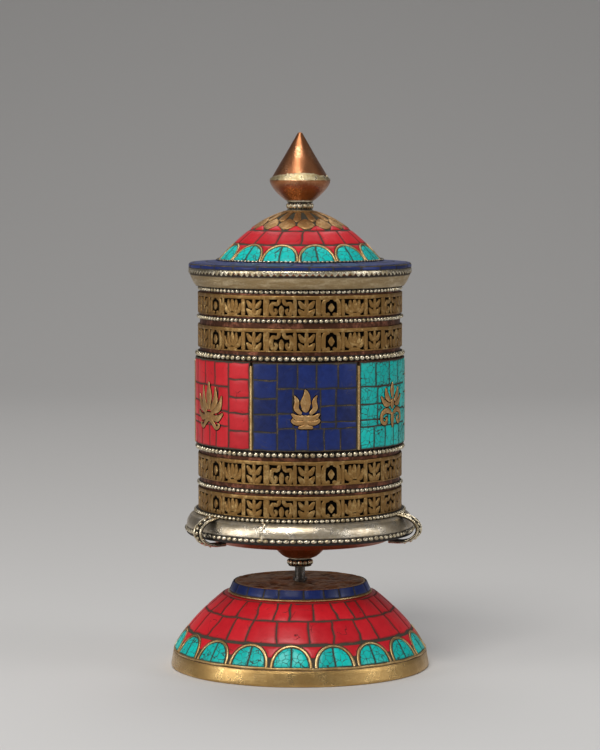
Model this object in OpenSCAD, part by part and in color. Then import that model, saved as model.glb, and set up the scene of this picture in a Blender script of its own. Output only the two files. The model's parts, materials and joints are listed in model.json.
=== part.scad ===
// Tabletop prayer wheel: a stone-set bell base with a fixed spindle, a drum that
// spins on a ball at the spindle's tip, a lift-off lid and a screw-on finial.
// Millimetres, +Z up, origin at the centre of the foot's underside.

/* [Base] */
// Outer radius of the foot ring at the table
foot_r = 48.6; // [44:0.1:60]
// Height of the foot ring
foot_h = 6.0; // [4:0.1:12]
// How much narrower the foot ring is at its top
foot_taper = 0.9; // [0:0.1:2]
// Height of the wire between foot ring and stones
foot_wire_h = 0.8; // [0.4:0.1:2]
// Height of the stone-set slope
bell_h = 20.8; // [16:0.1:30]
// Radius at the top of the stone-set slope
bell_top_r = 28.7; // [24:0.1:34]
// How far the slope bulges outside a straight cone
bell_bulge = 1.9; // [0:0.1:4]
// Thickness of the base's stone layer, measured level
base_stone_t = 2.2; // [1:0.1:4]
// Thickness of the copper bell under the stones, measured level
base_shell_t = 1.2; // [0.6:0.1:2]
// Number of turquoise lobes round the base
base_lobes = 18; // [12:1:24]
// Height of the wire under the lapis collar
collar_wire_h = 0.8; // [0.4:0.1:2]
// Height of the lapis collar
collar_h = 3.5; // [2:0.1:8]
// How much narrower the collar is at its top
collar_taper = 1.5; // [0:0.1:3]
// Level thickness of the collar at its foot
collar_t = 3.1; // [2:0.1:5]
// Thickness of the hammered top plate
plate_t = 1.2; // [0.8:0.1:2]
// Thickness of the cover sheet under the base
cover_t = 1.0; // [0.5:0.1:2]
// How far the cover sheet is set up inside the foot
cover_setback = 0.6; // [0.2:0.1:3]

/* [Spindle and bearing] */
// Radius of the steel spindle
rod_r = 1.9; // [1.5:0.05:2.4]
// Radius of the bearing ball on the spindle's tip
ball_r = 1.9; // [1.5:0.05:2.6]
// Running clearance of the guide bush on the spindle, and of the finial nut on its stud
run_clear = 0.06; // [0.02:0.01:0.1]
// Height of the spindle's foot washer
washer_h = 1.0; // [0.5:0.1:2]
// Height of the spindle's nut
nut_h = 3.2; // [2:0.1:5]
// Free height between the top plate and the wheel's lowest bead ring
wheel_gap = 5.5; // [3:0.1:15]
// Bore radius of the axle tube inside the drum
tube_bore_r = 3.7; // [3.4:0.05:5]
// Wall of the axle tube
tube_t = 0.9; // [0.5:0.1:1.5]
// Length of the guide bush
bush_h = 15; // [8:0.5:30]
// Height of the pivot plug at the top of the axle tube
plug_h = 8; // [6:0.1:14]
// Radius of the stud that the finial screws onto
stud_r = 2.0; // [1.4:0.05:2.4]
// How far the pivot plug's top lies under the drum's rim
plug_drop = 8.9; // [6:0.1:30]

/* [Drum] */
// Outer radius of the copper drum shell
drum_r = 37.4; // [33:0.1:44]
// Wall of the drum shell
shell_t = 0.9; // [0.6:0.1:2]
// Thickness of the drum's floor pan
floor_t = 1.0; // [0.6:0.1:2]
// Height that the floor pan's rim rises outside
floor_rise = 2.8; // [1.5:0.1:5]
// Level width of the floor pan's sloping rim
floor_slope_w = 5.0; // [3:0.1:8]
// Height of the pan's flat lip that carries the shell
floor_lip_h = 0.5; // [0.3:0.1:1]
// Radius of the bearing boss where it meets the floor
boss_top_r = 12.0; // [9:0.1:18]
// Radius of the bearing boss at its lower end
boss_low_r = 5.2; // [4.8:0.1:7]
// Height of the bearing boss
boss_h = 7.0; // [4:0.1:12]
// Height of the bead ring under the boss
boss_ring_h = 3.3; // [2:0.1:5]
// Heights of the four pierced bands, lowest first
band_h = [8.1, 8.8, 8.5, 7.8];
// Free height under each band, lowest first
gap_under = [0, 1.6, 1.35, 0.55];
// Free height over each band, lowest first
gap_over = [0.8, 1.3, 1.95, 0.6];
// Thickness of the pierced bands
band_t = 0.8; // [0.4:0.1:1.5]
// Height of the stone panels
panel_h = 32.1; // [20:0.1:45]
// Thickness of the stone panels with their backing
panel_t = 1.75; // [1:0.05:3]
// Free height between the stone panels and the bead wires
panel_gap = 0.35; // [0:0.05:1]
// Width of the brass strips between the panels
divider_w = 1.0; // [0.5:0.1:2]
// How far brass strips and ornaments stand off the stones
brass_relief = 0.3; // [0.1:0.05:0.8]

/* [Bead wires and skirt] */
// Height of the small bead wires
small_bead_h = 1.6; // [1:0.05:2.4]
// Height of the two bead wires beside the stone panels
large_bead_h = 2.1; // [1.2:0.05:3]
// Height of the skirt from its flange to the bead wire on its top
skirt_h = 7.7; // [5:0.1:12]
// How far the skirt's top stands out from the drum shell
skirt_ledge = 1.5; // [1:0.1:4]
// How far the skirt flares outwards
skirt_flare = 3.7; // [2:0.1:6]
// Wall of the skirt
skirt_t = 0.8; // [0.5:0.1:1.5]
// Height of the skirt's bead wire above its flange
skirt_bead_z = 0.8; // [0.4:0.1:2]
// How far the turning loops stand out past the skirt, beads included
loop_standoff = 5.7; // [4.5:0.1:10]
// Width of the turning loops' strap
loop_w = 4.6; // [3:0.1:7]
// Thickness of the turning loops' strap
loop_t = 1.0; // [0.6:0.1:1.6]
// Radius of the beads along the turning loops
loop_bead_r = 0.75; // [0.4:0.05:1.2]

/* [Lid] */
// Height of the cornice
cornice_h = 5.2; // [3:0.1:9]
// How far the cornice's foot stands out from the drum shell
cornice_ledge = 1.4; // [1:0.1:4]
// How far the cornice flares outwards
cornice_flare = 2.7; // [1:0.1:4]
// Wall of the cornice
cornice_t = 1.1; // [0.6:0.1:2]
// Depth of the lid's sleeve inside the drum
sleeve_depth = 3.5; // [2:0.1:8]
// Wall of the lid's sleeve
sleeve_t = 0.8; // [0.5:0.1:1.5]
// Sliding clearance of the sleeve in the drum
sleeve_clear = 0.08; // [0.02:0.01:0.1]
// Height of the saw-tooth strip, which is the lid plate's thickness
gallery_h = 1.5; // [0.8:0.1:3]
// Number of teeth round the strip
gallery_teeth = 112; // [60:4:140]
// Height of the lapis brim's outer edge
brim_h = 1.9; // [1:0.1:4]
// How much the brim rises from its edge to the dome
brim_rise = 0.8; // [0:0.1:2]
// Radius of the dome at its foot
dome_r = 30.6; // [24:0.1:36]
// Height of the dome above the brim
dome_h = 18.8; // [12:0.1:28]
// Thickness of the dome's stone layer
dome_stone_t = 1.7; // [1:0.1:3]
// Thickness of the dome's copper shell
dome_shell_t = 1.0; // [0.6:0.1:2]
// Number of turquoise lobes round the dome
dome_lobes = 13; // [9:1:18]
// Number of brass petals round the dome's top
petals = 14; // [8:1:20]

/* [Finial] */
// Radius of the flat seat on the dome's top
seat_r = 5.2; // [4.6:0.1:8]
// Height of the beaded neck ring
neck_h = 4.1; // [2.5:0.1:7]
// Radius of the finial's equator
finial_r = 11.4; // [9:0.1:16]
// Width of the finial bowl's foot round the nut inside
finial_foot_edge = 0.7; // [0.4:0.1:2]
// Height of the finial's bowl
bowl_h = 7.5; // [5:0.1:12]
// Height of the finial's cone
cone_h = 17.8; // [10:0.1:28]
// Wall of the finial's bowl and cone
finial_t = 0.9; // [0.5:0.1:1.5]
// Height of the solder seam over the equator
seam_h = 2.2; // [1:0.1:4]
// Length of the finial's nut
finial_nut_h = 9.5; // [6:0.1:14]

/* [Hidden] */
$fn = 96;

// Colours
brass = [0.66, 0.52, 0.29];
silver = [0.72, 0.68, 0.58];
copper = [0.60, 0.33, 0.20];
dark_copper = [0.36, 0.25, 0.19];
steel = [0.55, 0.55, 0.56];
coral = [0.78, 0.13, 0.16];
turquoise = [0.10, 0.66, 0.64];
lapis = [0.14, 0.18, 0.42];
paper = [0.86, 0.80, 0.66];
cloth = [0.85, 0.60, 0.14];
plaster = [0.70, 0.68, 0.64];

// A little more than a wall, for cuts that run right through it
past = 1;

// Heights of the base
z_cover = cover_setback + cover_t;
z_foot_wire = foot_h;
z_bell = z_foot_wire + foot_wire_h;
z_shoulder = z_bell + bell_h;
z_collar = z_shoulder + collar_wire_h;
z_collar_top = z_collar + collar_h;
z_plate = z_collar_top - plate_t;

// The base's slope
bell_steps = 10;
bell_edge = 0.3;
bell_foot_r = foot_r - foot_taper - bell_edge;
shell_foot_r = bell_foot_r - base_stone_t;
collar_edge = 2.0;
collar_foot_r = bell_top_r - collar_edge;
neck_r = collar_foot_r - collar_t;
collar_top_r = collar_foot_r - collar_taper;
plate_edge = 0.7;
plate_r = collar_top_r - plate_edge;

// Lobes: half circles whose centres stand a little above the lower edge
lobe_wire_t = 0.7;
lobe_gap = 0.45;
lobe_lift = 1.05;
wire_relief = 0.2;
bead_core_t = 0.3;
base_lobe_phase = -4;
dome_lobe_phase = -15;

// Spindle hardware; pass_r is what has to slip through the wheel when it is lifted off
pass_r = max(rod_r, ball_r);
washer_r = rod_r + 0.8;
nut_r = rod_r + 2.1;
nut_room_r = nut_r + 1.2;
nut_room_h = nut_h + 1.3;
spindle_end = 0.5;

// Heights of the wheel
z_wheel = z_collar_top + wheel_gap;
z_boss = z_wheel + boss_ring_h;
z_floor = z_boss + boss_h;
z_pan_top = z_floor + floor_rise;
z_shell = z_pan_top;
z_skirt_top = z_shell + skirt_h;
z_skirt_bead = z_shell + skirt_bead_z;
z_band_4 = z_skirt_top + small_bead_h + gap_under[0];
z_wire_5 = z_band_4 + band_h[0] + gap_over[0];
z_band_3 = z_wire_5 + small_bead_h + gap_under[1];
z_wire_4 = z_band_3 + band_h[1] + gap_over[1];
z_panel = z_wire_4 + large_bead_h + panel_gap;
z_wire_3 = z_panel + panel_h + panel_gap;
z_band_2 = z_wire_3 + large_bead_h + gap_under[2];
z_wire_2 = z_band_2 + band_h[2] + gap_over[2];
z_band_1 = z_wire_2 + small_bead_h + gap_under[3];
z_wire_1 = z_band_1 + band_h[3] + gap_over[3];
z_rim = z_wire_1 + small_bead_h;

// Drum radii
pan_r = drum_r + 0.6;
pan_flat_r = pan_r - floor_slope_w;
drum_bore_r = drum_r - shell_t;
tube_r = tube_bore_r + tube_t;
band_r = drum_r + band_t;
panel_r = drum_r + panel_t;
small_wire_r = drum_r + 1.3;
large_wire_r = drum_r + 1.95;
top_wire_r = drum_r + 0.9;
skirt_top_r = drum_r + skirt_ledge;
skirt_r = skirt_top_r + skirt_flare;

// Pivot: the ball sits between the spindle's tip and the plug's cup
cup_clear = 0.35;
z_plug_top = z_rim - plug_drop;
z_plug = z_plug_top - plug_h;
z_cup = z_plug + ball_r;
z_tip = z_cup - 2 * ball_r;

// The rolled prayer paper in its cloth
scroll_air = 1.2;
scroll_tube_air = 0.4;
wrap_t = 0.6;
wrap_r = drum_bore_r - scroll_air;
scroll_r = wrap_r - wrap_t;
scroll_hole_r = tube_r + scroll_tube_air;
z_scroll = z_shell + 0.4;
z_wrap_top = z_rim - sleeve_depth - 1.4;

// Lid
z_cornice = z_rim;
z_plate_lid = z_cornice + cornice_h;
z_brim = z_plate_lid + gallery_h;
z_brim_edge = z_brim + brim_h;
z_dome = z_brim_edge + brim_rise;
cornice_foot_r = drum_r + cornice_ledge;
cornice_r = cornice_foot_r + cornice_flare;
lid_plate_r = cornice_r - 0.5;
gallery_r = cornice_r + 0.2;
sleeve_r = drum_bore_r - sleeve_clear;
brim_r = cornice_r + 0.1;
stud_hole_r = stud_r + 0.6;
dome_steps = 12;
dome_power = 1.9;
dome_wire_w = 0.8;
dome_wire_h = 0.7;
petal_t = 0.35;
petal_top_r = seat_r + 0.4;

// Finial
z_seat = dome_z(seat_r);
z_bowl = z_seat + neck_h;
z_equator = z_bowl + bowl_h;
z_nut = z_bowl + finial_t;
stud_room = 1.0;
z_stud_top = z_nut + finial_nut_h - 2 * stud_room;
finial_nut_r = stud_r + 1.9;
finial_foot_r = finial_nut_r + finial_t + finial_foot_edge;
cone_tip_r = 1.0;
cone_r = finial_r - 0.2;
seam_t = 0.25;

// Panels: six of 60 degrees, the first centred a little right of the front
panel_turn = 3;
panel_angle = 60;
loop_angles = [-52, 68, 188];

// ---------- shared shapes ----------

// Radius of the base's stone slope at height fraction t
function bell_out(t) =
    bell_foot_r + (bell_top_r - bell_foot_r) * t + bell_bulge * 4 * t * (1 - t);

// Outline of the base's slope, moved inwards by inset
function bell_line(inset) =
    [for (i = [0:bell_steps]) [bell_out(i / bell_steps) - inset, z_bell + bell_h * i / bell_steps]];

// Height of the dome's surface at radius r, for the outer surface moved in by inset
function dome_z(r, inset = 0) =
    z_dome + (dome_h - inset) * (1 - pow(r / (dome_r - inset), dome_power));

// Outline of the dome from its foot to the flat seat on its top
function dome_line(inset) = [
    for (i = [0:dome_steps])
        let (r = (dome_r - inset) + (seat_r - dome_r + inset) * i / dome_steps)
        [r, dome_z(r, inset)]
];

function reversed(list) = [for (i = [len(list) - 1:-1:0]) list[i]];

module turned(points) {
    rotate_extrude() polygon(points);
}

module tube(r_out, r_in, z, h) {
    translate([0, 0, z]) difference() {
        cylinder(r = r_out, h = h);
        translate([0, 0, -past]) cylinder(r = r_in, h = h + 2 * past);
    }
}

// A ring with a flat back, a flat foot and a rounded outer edge
module edge_wire(r_in, r_out, z, h) {
    rotate_extrude() translate([0, z]) union() {
        translate([r_in, 0]) square([r_out - h / 2 - r_in, h]);
        translate([r_out - h / 2, h / 2]) circle(r = h / 2);
    }
}

// A bead wire: n round beads standing out of a plain core
module bead_wire(n, r_in, r_out, z, h) {
    bead = min(h / 2, PI * r_out / n, r_out - r_in - bead_core_t);
    translate([0, 0, z]) linear_extrude(height = h) difference() {
        union() {
            circle(r = r_out - bead, $fn = 240);
            for (i = [0:n - 1]) rotate(i * 360 / n) translate([r_out - bead, 0]) circle(r = bead * 0.97);
        }
        circle(r = r_in, $fn = 240);
    }
}

// Children drawn in the plane of a wall, x round it and y upwards, at angle a from the front
module on_wall(a, z, r, depth) {
    rotate([90, 0, a]) translate([0, z, r]) linear_extrude(height = depth) children();
}

// Round drills through a slope, one for each lobe
module lobe_drills(n, phase, r, z, tilt, drill_r) {
    reach = 12;
    for (i = [0:n - 1]) rotate([0, 0, phase + i * 360 / n]) translate([0, -r, z])
        rotate([90 - tilt, 0, 0]) translate([0, lobe_lift, -reach / 2])
            cylinder(r = drill_r, h = reach);
}

// A sector of a ring between two angles from the front
module sector(a_from, a_to, r_in, r_out, z, h) {
    rotate([0, 0, a_from - 90]) rotate_extrude(angle = a_to - a_from)
        translate([r_in, z]) square([r_out - r_in, h]);
}

// ---------- base ----------

base_lobe_tilt = atan2(bell_out(0) - bell_out(0.35), 0.35 * bell_h);
base_lobe_r = bell_foot_r * sin(180 / base_lobes) - lobe_gap;

module bell_layer(inset, t) {
    turned(concat(bell_line(inset), reversed(bell_line(inset + t))));
}

module base_drills(r) {
    lobe_drills(base_lobes, base_lobe_phase, bell_foot_r, z_bell, base_lobe_tilt, r);
}

module foot_ring() {
    color(brass) turned([
        [shell_foot_r, 0], [foot_r, 0], [foot_r, 0.6], [foot_r - foot_taper, foot_h],
        [shell_foot_r, foot_h]
    ]);
}

module foot_wire() {
    color(brass) edge_wire(shell_foot_r, bell_foot_r, z_foot_wire, foot_wire_h);
}

// Inner outline of the copper bell, from the foot to the underside of the top plate
function bell_inside() = concat(
    [[shell_foot_r - base_shell_t, z_cover]],
    [for (i = [0:bell_steps - 1]) bell_line(base_stone_t + base_shell_t)[i]],
    [[neck_r - base_shell_t, z_shoulder - base_shell_t], [neck_r - base_shell_t, z_plate]]
);

module base_shell() {
    color(copper) turned(concat(
        [[shell_foot_r, z_cover]], bell_line(base_stone_t),
        [[neck_r, z_shoulder], [neck_r, z_plate]], reversed(bell_inside())
    ));
}

module base_coral_mosaic() {
    color(coral) difference() {
        bell_layer(0, base_stone_t);
        base_drills(base_lobe_r);
    }
}

module base_turquoise_lobes() {
    color(turquoise) intersection() {
        bell_layer(0, base_stone_t);
        base_drills(base_lobe_r - lobe_wire_t);
    }
}

module base_lobe_wires() {
    color(brass) intersection() {
        bell_layer(-wire_relief, base_stone_t + wire_relief);
        difference() {
            base_drills(base_lobe_r);
            base_drills(base_lobe_r - lobe_wire_t);
        }
    }
}

module base_collar_wire() {
    color(brass) edge_wire(neck_r, collar_foot_r + collar_wire_h / 2, z_shoulder, collar_wire_h);
}

module base_lapis_collar() {
    color(lapis) turned([
        [neck_r, z_collar], [collar_foot_r, z_collar], [collar_top_r, z_collar_top],
        [plate_r, z_collar_top], [plate_r, z_plate], [neck_r, z_plate]
    ]);
}

module base_top_plate() {
    color(dark_copper) tube(plate_r, rod_r, z_plate, plate_t);
}

module base_weight() {
    color(plaster) difference() {
        turned(concat([[rod_r, z_cover]], bell_inside(), [[rod_r, z_plate]]));
        translate([0, 0, z_cover - past]) cylinder(r = nut_room_r, h = nut_room_h + past);
    }
}

module base_cover() {
    color(copper) translate([0, 0, cover_setback]) cylinder(r = shell_foot_r, h = cover_t);
}

module spindle() {
    color(steel) translate([0, 0, z_cover + spindle_end])
        cylinder(r = rod_r, h = z_tip - z_cover - spindle_end);
}

module spindle_washer() {
    color(steel) tube(washer_r, rod_r, z_collar_top, washer_h);
}

module spindle_nut() {
    color(steel) translate([0, 0, z_cover + nut_room_h - nut_h]) difference() {
        cylinder(r = nut_r, h = nut_h, $fn = 6);
        translate([0, 0, -past]) cylinder(r = rod_r, h = nut_h + 2 * past);
    }
}

module pivot_ball() {
    color(steel) translate([0, 0, z_tip + ball_r]) sphere(r = ball_r);
}

// ---------- drum ----------

module drum_shell() {
    color(copper) tube(drum_r, drum_bore_r, z_shell, z_rim - z_shell);
}

module drum_floor() {
    lip = z_pan_top - floor_lip_h;
    color(copper) turned([
        [tube_bore_r, z_floor], [pan_flat_r, z_floor], [pan_r, lip], [pan_r, z_pan_top],
        [drum_bore_r, z_pan_top], [pan_flat_r - floor_t / 2, z_floor + floor_t],
        [tube_bore_r, z_floor + floor_t]
    ]);
}

boss_steps = 8;
boss_power = 1.5;

function boss_line() = [
    for (i = [0:boss_steps])
        [boss_low_r + (boss_top_r - boss_low_r) * i / boss_steps,
         z_boss + boss_h * pow(i / boss_steps, boss_power)]
];

module bearing_boss() {
    color(copper) difference() {
        turned(concat([[tube_bore_r, z_boss]], boss_line(), [[tube_bore_r, z_floor]]));
        translate([0, 0, floor_t]) turned(concat(
            [[0, z_boss]], boss_line(), [[0, z_floor]]
        ));
    }
}

module beaded_ring(n, r_in, r_out, z, h) {
    bead = min(h * 0.3, PI * (r_out - h * 0.3) / n);
    union() {
        tube(r_out - bead * 0.9, r_in, z, h);
        for (i = [0:n - 1]) rotate([0, 0, (i + 0.5) * 360 / n])
            translate([r_out - bead, 0, z + h / 2]) sphere(r = bead);
    }
}

module boss_bead_ring() {
    color(silver) beaded_ring(12, pass_r + 0.6, boss_low_r, z_wheel, boss_ring_h);
}

module guide_bush() {
    color(brass) tube(tube_bore_r, pass_r + run_clear, z_boss, bush_h);
}

module axle_tube() {
    color(copper) tube(tube_r, tube_bore_r, z_floor + floor_t, z_plug_top - z_floor - floor_t);
}

module pivot_plug() {
    color(steel) difference() {
        union() {
            translate([0, 0, z_plug]) cylinder(r = tube_bore_r, h = plug_h);
            translate([0, 0, z_plug_top]) cylinder(r = stud_r, h = z_stud_top - z_plug_top);
        }
        translate([0, 0, z_plug - past]) cylinder(r = ball_r + cup_clear, h = z_cup - z_plug + past);
    }
}

module prayer_scroll() {
    color(paper) tube(scroll_r, scroll_hole_r, z_scroll, z_wrap_top - wrap_t - z_scroll);
}

module scroll_wrap() {
    color(cloth) turned([
        [scroll_r, z_scroll], [wrap_r, z_scroll], [wrap_r, z_wrap_top],
        [scroll_hole_r, z_wrap_top], [scroll_hole_r, z_wrap_top - wrap_t],
        [scroll_r, z_wrap_top - wrap_t]
    ]);
}

skirt_steps = 6;

// Quarter-round flare of the skirt, from its top down to the flange
function skirt_line(inset) = [
    for (i = [0:skirt_steps])
        let (u = 90 * i / skirt_steps)
        [skirt_top_r - inset + skirt_flare * sin(u),
         z_shell + skirt_t + (skirt_h - skirt_t) * (0.25 + 0.75 * cos(u))]
];

module skirt_ring() {
    inner = skirt_line(skirt_t);
    color(silver) turned(concat(
        [[drum_r, z_skirt_top], [skirt_top_r, z_skirt_top]], skirt_line(0),
        [[skirt_r, z_shell], [drum_r, z_shell], [drum_r, z_shell + skirt_t],
         [skirt_r - skirt_t, z_shell + skirt_t]],
        reversed([for (i = [1:skirt_steps]) inner[i]]),
        [[skirt_top_r - skirt_t, z_skirt_top - skirt_t], [drum_r, z_skirt_top - skirt_t]]
    ));
}

module skirt_bead_lower() {
    color(silver) bead_wire(106, skirt_r, skirt_r + 0.8, z_skirt_bead, small_bead_h);
}

module skirt_bead_upper() {
    color(silver) bead_wire(123, drum_r, skirt_top_r + 1.0, z_skirt_top, small_bead_h);
}

// Turning loops: half an ellipse of strap from the upper bead wire round under the pan
loop_steps = 14;
loop_foot_r = skirt_top_r + 0.4;
loop_tail_r = pan_r - 1.9;
loop_solder = 0.12;
loop_top_z = z_skirt_top + 0.1;
loop_low_z = pan_under(loop_tail_r) - loop_t / 2 + loop_solder;
loop_mid_z = (loop_top_z + loop_low_z) / 2;
loop_a = skirt_r + loop_standoff - loop_bead_r * 0.8 - loop_t / 2 - loop_foot_r;
loop_b = (loop_top_z - loop_low_z) / 2;

// Height of the floor pan's underside at radius r on its sloping rim
function pan_under(r) =
    z_floor + (floor_rise - floor_lip_h) * (r - pan_flat_r) / floor_slope_w;

function loop_line(grow) = [
    for (i = [0:loop_steps])
        let (u = 90 - 180 * i / loop_steps)
        [loop_foot_r + (loop_a + grow) * cos(u), loop_mid_z + (loop_b + grow) * sin(u)]
];

module turning_loop(a) {
    low = loop_mid_z - loop_b;
    color(silver) rotate([0, 0, a - 90]) union() {
        rotate([90, 0, 0]) translate([0, 0, -loop_w / 2]) linear_extrude(height = loop_w)
            polygon(concat(
                loop_line(loop_t / 2),
                [[loop_tail_r, low - loop_t / 2], [loop_tail_r, low + loop_t / 2]],
                reversed(loop_line(-loop_t / 2))
            ));
        for (i = [1:8])
            let (u = 72 - 144 * (i - 1) / 7, g = loop_t / 2 + loop_bead_r * 0.3)
            translate([loop_foot_r + (loop_a + g) * cos(u), 0, loop_mid_z + (loop_b + g) * sin(u)])
                sphere(r = loop_bead_r);
    }
}

module turning_loop_1() { turning_loop(loop_angles[0]); }
module turning_loop_2() { turning_loop(loop_angles[1]); }
module turning_loop_3() { turning_loop(loop_angles[2]); }

// A pierced band: a top rail, a lower rail, and slots of three lengths between bars
module fret_band(z, h, phase) {
    cells = 40;
    rail_h = h * 0.2;
    foot_rail_h = h * 0.12;
    slot_h = h - rail_h - foot_rail_h;
    slot_w = 1.6;
    color(brass) difference() {
        tube(band_r, drum_r, z, h);
        for (i = [0:cells - 1]) rotate([0, 0, phase + i * 360 / cells]) {
            tall = i % 2 == 0;
            translate([-slot_w / 2, -band_r - past, z + foot_rail_h])
                cube([slot_w, band_t + 2 * past, tall ? slot_h : slot_h * 0.38]);
            if (!tall) translate([-slot_w, -band_r - past, z + foot_rail_h + slot_h * 0.6])
                cube([2 * slot_w, band_t + 2 * past, slot_h * 0.25]);
        }
    }
}

module fret_band_1() { fret_band(z_band_1, band_h[3], -18); }
module fret_band_2() { fret_band(z_band_2, band_h[2], -18); }
module fret_band_3() { fret_band(z_band_3, band_h[1], -18); }
module fret_band_4() { fret_band(z_band_4, band_h[0], -18); }

module bead_wire_1() { color(silver) bead_wire(116, drum_r, top_wire_r, z_wire_1, small_bead_h); }
module bead_wire_2() { color(silver) bead_wire(124, drum_r, small_wire_r, z_wire_2, small_bead_h); }
module bead_wire_3() { color(silver) bead_wire(100, drum_r, large_wire_r, z_wire_3, large_bead_h); }
module bead_wire_4() { color(silver) bead_wire(103, drum_r, large_wire_r, z_wire_4, large_bead_h); }
module bead_wire_5() { color(silver) bead_wire(118, drum_r, small_wire_r, z_wire_5, small_bead_h); }

// Half the angle that a brass strip between two panels takes
divider_half = asin(divider_w / 2 / drum_r);

module panel(i) {
    mid = panel_turn + i * panel_angle;
    half = panel_angle / 2 - divider_half;
    sector(mid - half, mid + half, drum_r, panel_r, z_panel, panel_h);
}

module panel_dividers() {
    color(brass) for (i = [0:5])
        let (mid = panel_turn + (i + 0.5) * panel_angle)
        sector(mid - divider_half, mid + divider_half, drum_r, panel_r + brass_relief, z_panel, panel_h);
}

module lapis_panels() { color(lapis) for (i = [0, 3]) panel(i); }
module turquoise_panels() { color(turquoise) for (i = [1, 4]) panel(i); }
module coral_panels() { color(coral) for (i = [2, 5]) panel(i); }

// Flaming jewel on a lotus seat, w wide and h high, centred on the origin
module jewel_outline(w, h) {
    translate([0, h * 0.1]) circle(r = w * 0.28);
    polygon([[-w * 0.2, h * 0.25], [w * 0.2, h * 0.25], [0, h * 0.5]]);
    intersection() {
        translate([0, -h * 0.05]) circle(r = w * 0.5);
        translate([-w / 2, -h * 0.4]) square([w, h * 0.34]);
    }
    translate([-w * 0.3, -h * 0.5]) square([w * 0.6, h * 0.12]);
}

module panel_ornaments() {
    widths = [11.6, 16, 17];
    heights = [15.6, 18, 18];
    color(brass) intersection() {
        tube(panel_r + brass_relief, panel_r, z_panel, panel_h);
        union() {
            for (i = [0:5]) on_wall(panel_turn + i * panel_angle, z_panel + panel_h / 2, drum_r - 2, 6)
                jewel_outline(widths[i % 3], heights[i % 3]);
        }
    }
}

// ---------- lid ----------

cornice_steps = 6;
cornice_power = 0.75;

function cornice_line(inset) = [
    for (i = [0:cornice_steps])
        [cornice_foot_r + 0.4 - inset + (cornice_flare - 0.4) * pow(i / cornice_steps, cornice_power),
         z_cornice + 0.5 + (cornice_h - 0.5) * i / cornice_steps]
];

module cornice_ring() {
    color(silver) turned(concat(
        [[sleeve_r, z_cornice], [cornice_foot_r, z_cornice]], cornice_line(0),
        reversed([for (i = [1:cornice_steps]) cornice_line(cornice_t)[i]]),
        [[cornice_foot_r - cornice_t, z_cornice + cornice_t], [sleeve_r, z_cornice + cornice_t]]
    ));
}

module gallery_strip() {
    tooth = 2 * PI * gallery_r / gallery_teeth;
    color(silver) difference() {
        tube(gallery_r, lid_plate_r, z_plate_lid, gallery_h);
        for (i = [0:gallery_teeth - 1]) rotate([0, 0, i * 360 / gallery_teeth])
            translate([0, -gallery_r, z_plate_lid]) rotate([0, 45, 0])
                cube([tooth * 0.45, 0.5, tooth * 0.45], center = true);
    }
}

module lid_plate() {
    color(copper) tube(lid_plate_r, stud_hole_r, z_plate_lid, gallery_h);
}

module lid_sleeve() {
    color(copper) tube(sleeve_r, sleeve_r - sleeve_t, z_rim - sleeve_depth, cornice_h + sleeve_depth);
}

module lapis_brim() {
    color(lapis) turned([
        [dome_r, z_brim], [brim_r, z_brim], [brim_r, z_brim_edge - 0.6],
        [brim_r - 0.5, z_brim_edge], [dome_r, z_dome]
    ]);
}

module dome_shell() {
    inner = dome_stone_t + dome_shell_t;
    color(copper) turned(concat(
        [[dome_r - dome_stone_t, z_brim]], dome_line(dome_stone_t),
        [[stud_hole_r, dome_z(seat_r, dome_stone_t)], [stud_hole_r, dome_z(seat_r, inner)]],
        reversed(dome_line(inner)), [[dome_r - inner, z_brim]]
    ));
}

module dome_crust(proud) {
    turned(concat(
        [[dome_r + proud, z_brim]], dome_line(-proud),
        [[stud_hole_r, dome_z(seat_r, -proud)], [stud_hole_r, dome_z(seat_r, dome_stone_t)]],
        reversed(dome_line(dome_stone_t)), [[dome_r - dome_stone_t, z_brim]]
    ));
}

dome_lobe_tilt = 42;
dome_lobe_r = dome_r * sin(180 / dome_lobes) - lobe_gap / 2;

module dome_drills(r) {
    lobe_drills(dome_lobes, dome_lobe_phase, dome_r, z_dome, dome_lobe_tilt, r);
}

petal_ring_r = 12.6;
petal_r = PI * petal_ring_r / petals;

module petal_outline() {
    circle(r = petal_ring_r);
    for (i = [0:petals - 1]) rotate(8 + i * 360 / petals)
        translate([0, -petal_ring_r - petal_r * 0.3]) circle(r = petal_r * 0.93);
}

// The band of height from the dome's foot to the top of everything on it
module dome_height_of(outline_r) {
    translate([0, 0, z_dome]) cylinder(r = outline_r, h = dome_h + past);
}

module dome_coral_mosaic() {
    color(coral) difference() {
        dome_crust(0);
        intersection() {
            dome_drills(dome_lobe_r);
            dome_height_of(dome_r + past);
        }
    }
}

module dome_turquoise_lobes() {
    color(turquoise) intersection() {
        dome_crust(0);
        dome_drills(dome_lobe_r - lobe_wire_t);
        dome_height_of(dome_r + past);
    }
}

module dome_lobe_wires() {
    color(brass) intersection() {
        dome_crust(0);
        difference() {
            dome_drills(dome_lobe_r);
            dome_drills(dome_lobe_r - lobe_wire_t);
        }
        dome_height_of(dome_r + past);
    }
}

module dome_petals() {
    color(brass) intersection() {
        turned(concat(dome_line(-petal_t), reversed(dome_line(0))));
        translate([0, 0, z_dome]) linear_extrude(height = dome_h + past) difference() {
            petal_outline();
            circle(r = petal_top_r);
        }
    }
}

module dome_foot_wire() {
    color(silver) edge_wire(dome_r, dome_r + dome_wire_w, z_dome, dome_wire_h);
}

// ---------- finial ----------

module neck_bead_ring() {
    color(silver) beaded_ring(14, stud_hole_r, seat_r, z_seat, neck_h);
}

bowl_steps = 6;
bowl_power = 1.55;

// The bowl widens fast at its foot and slower towards the equator
function bowl_line(inset) = [
    for (i = [0:bowl_steps])
        let (t = i / bowl_steps)
        [finial_foot_r - inset + (finial_r - finial_foot_r) * (1 - pow(1 - t, bowl_power)),
         z_bowl + bowl_h * t]
];

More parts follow.
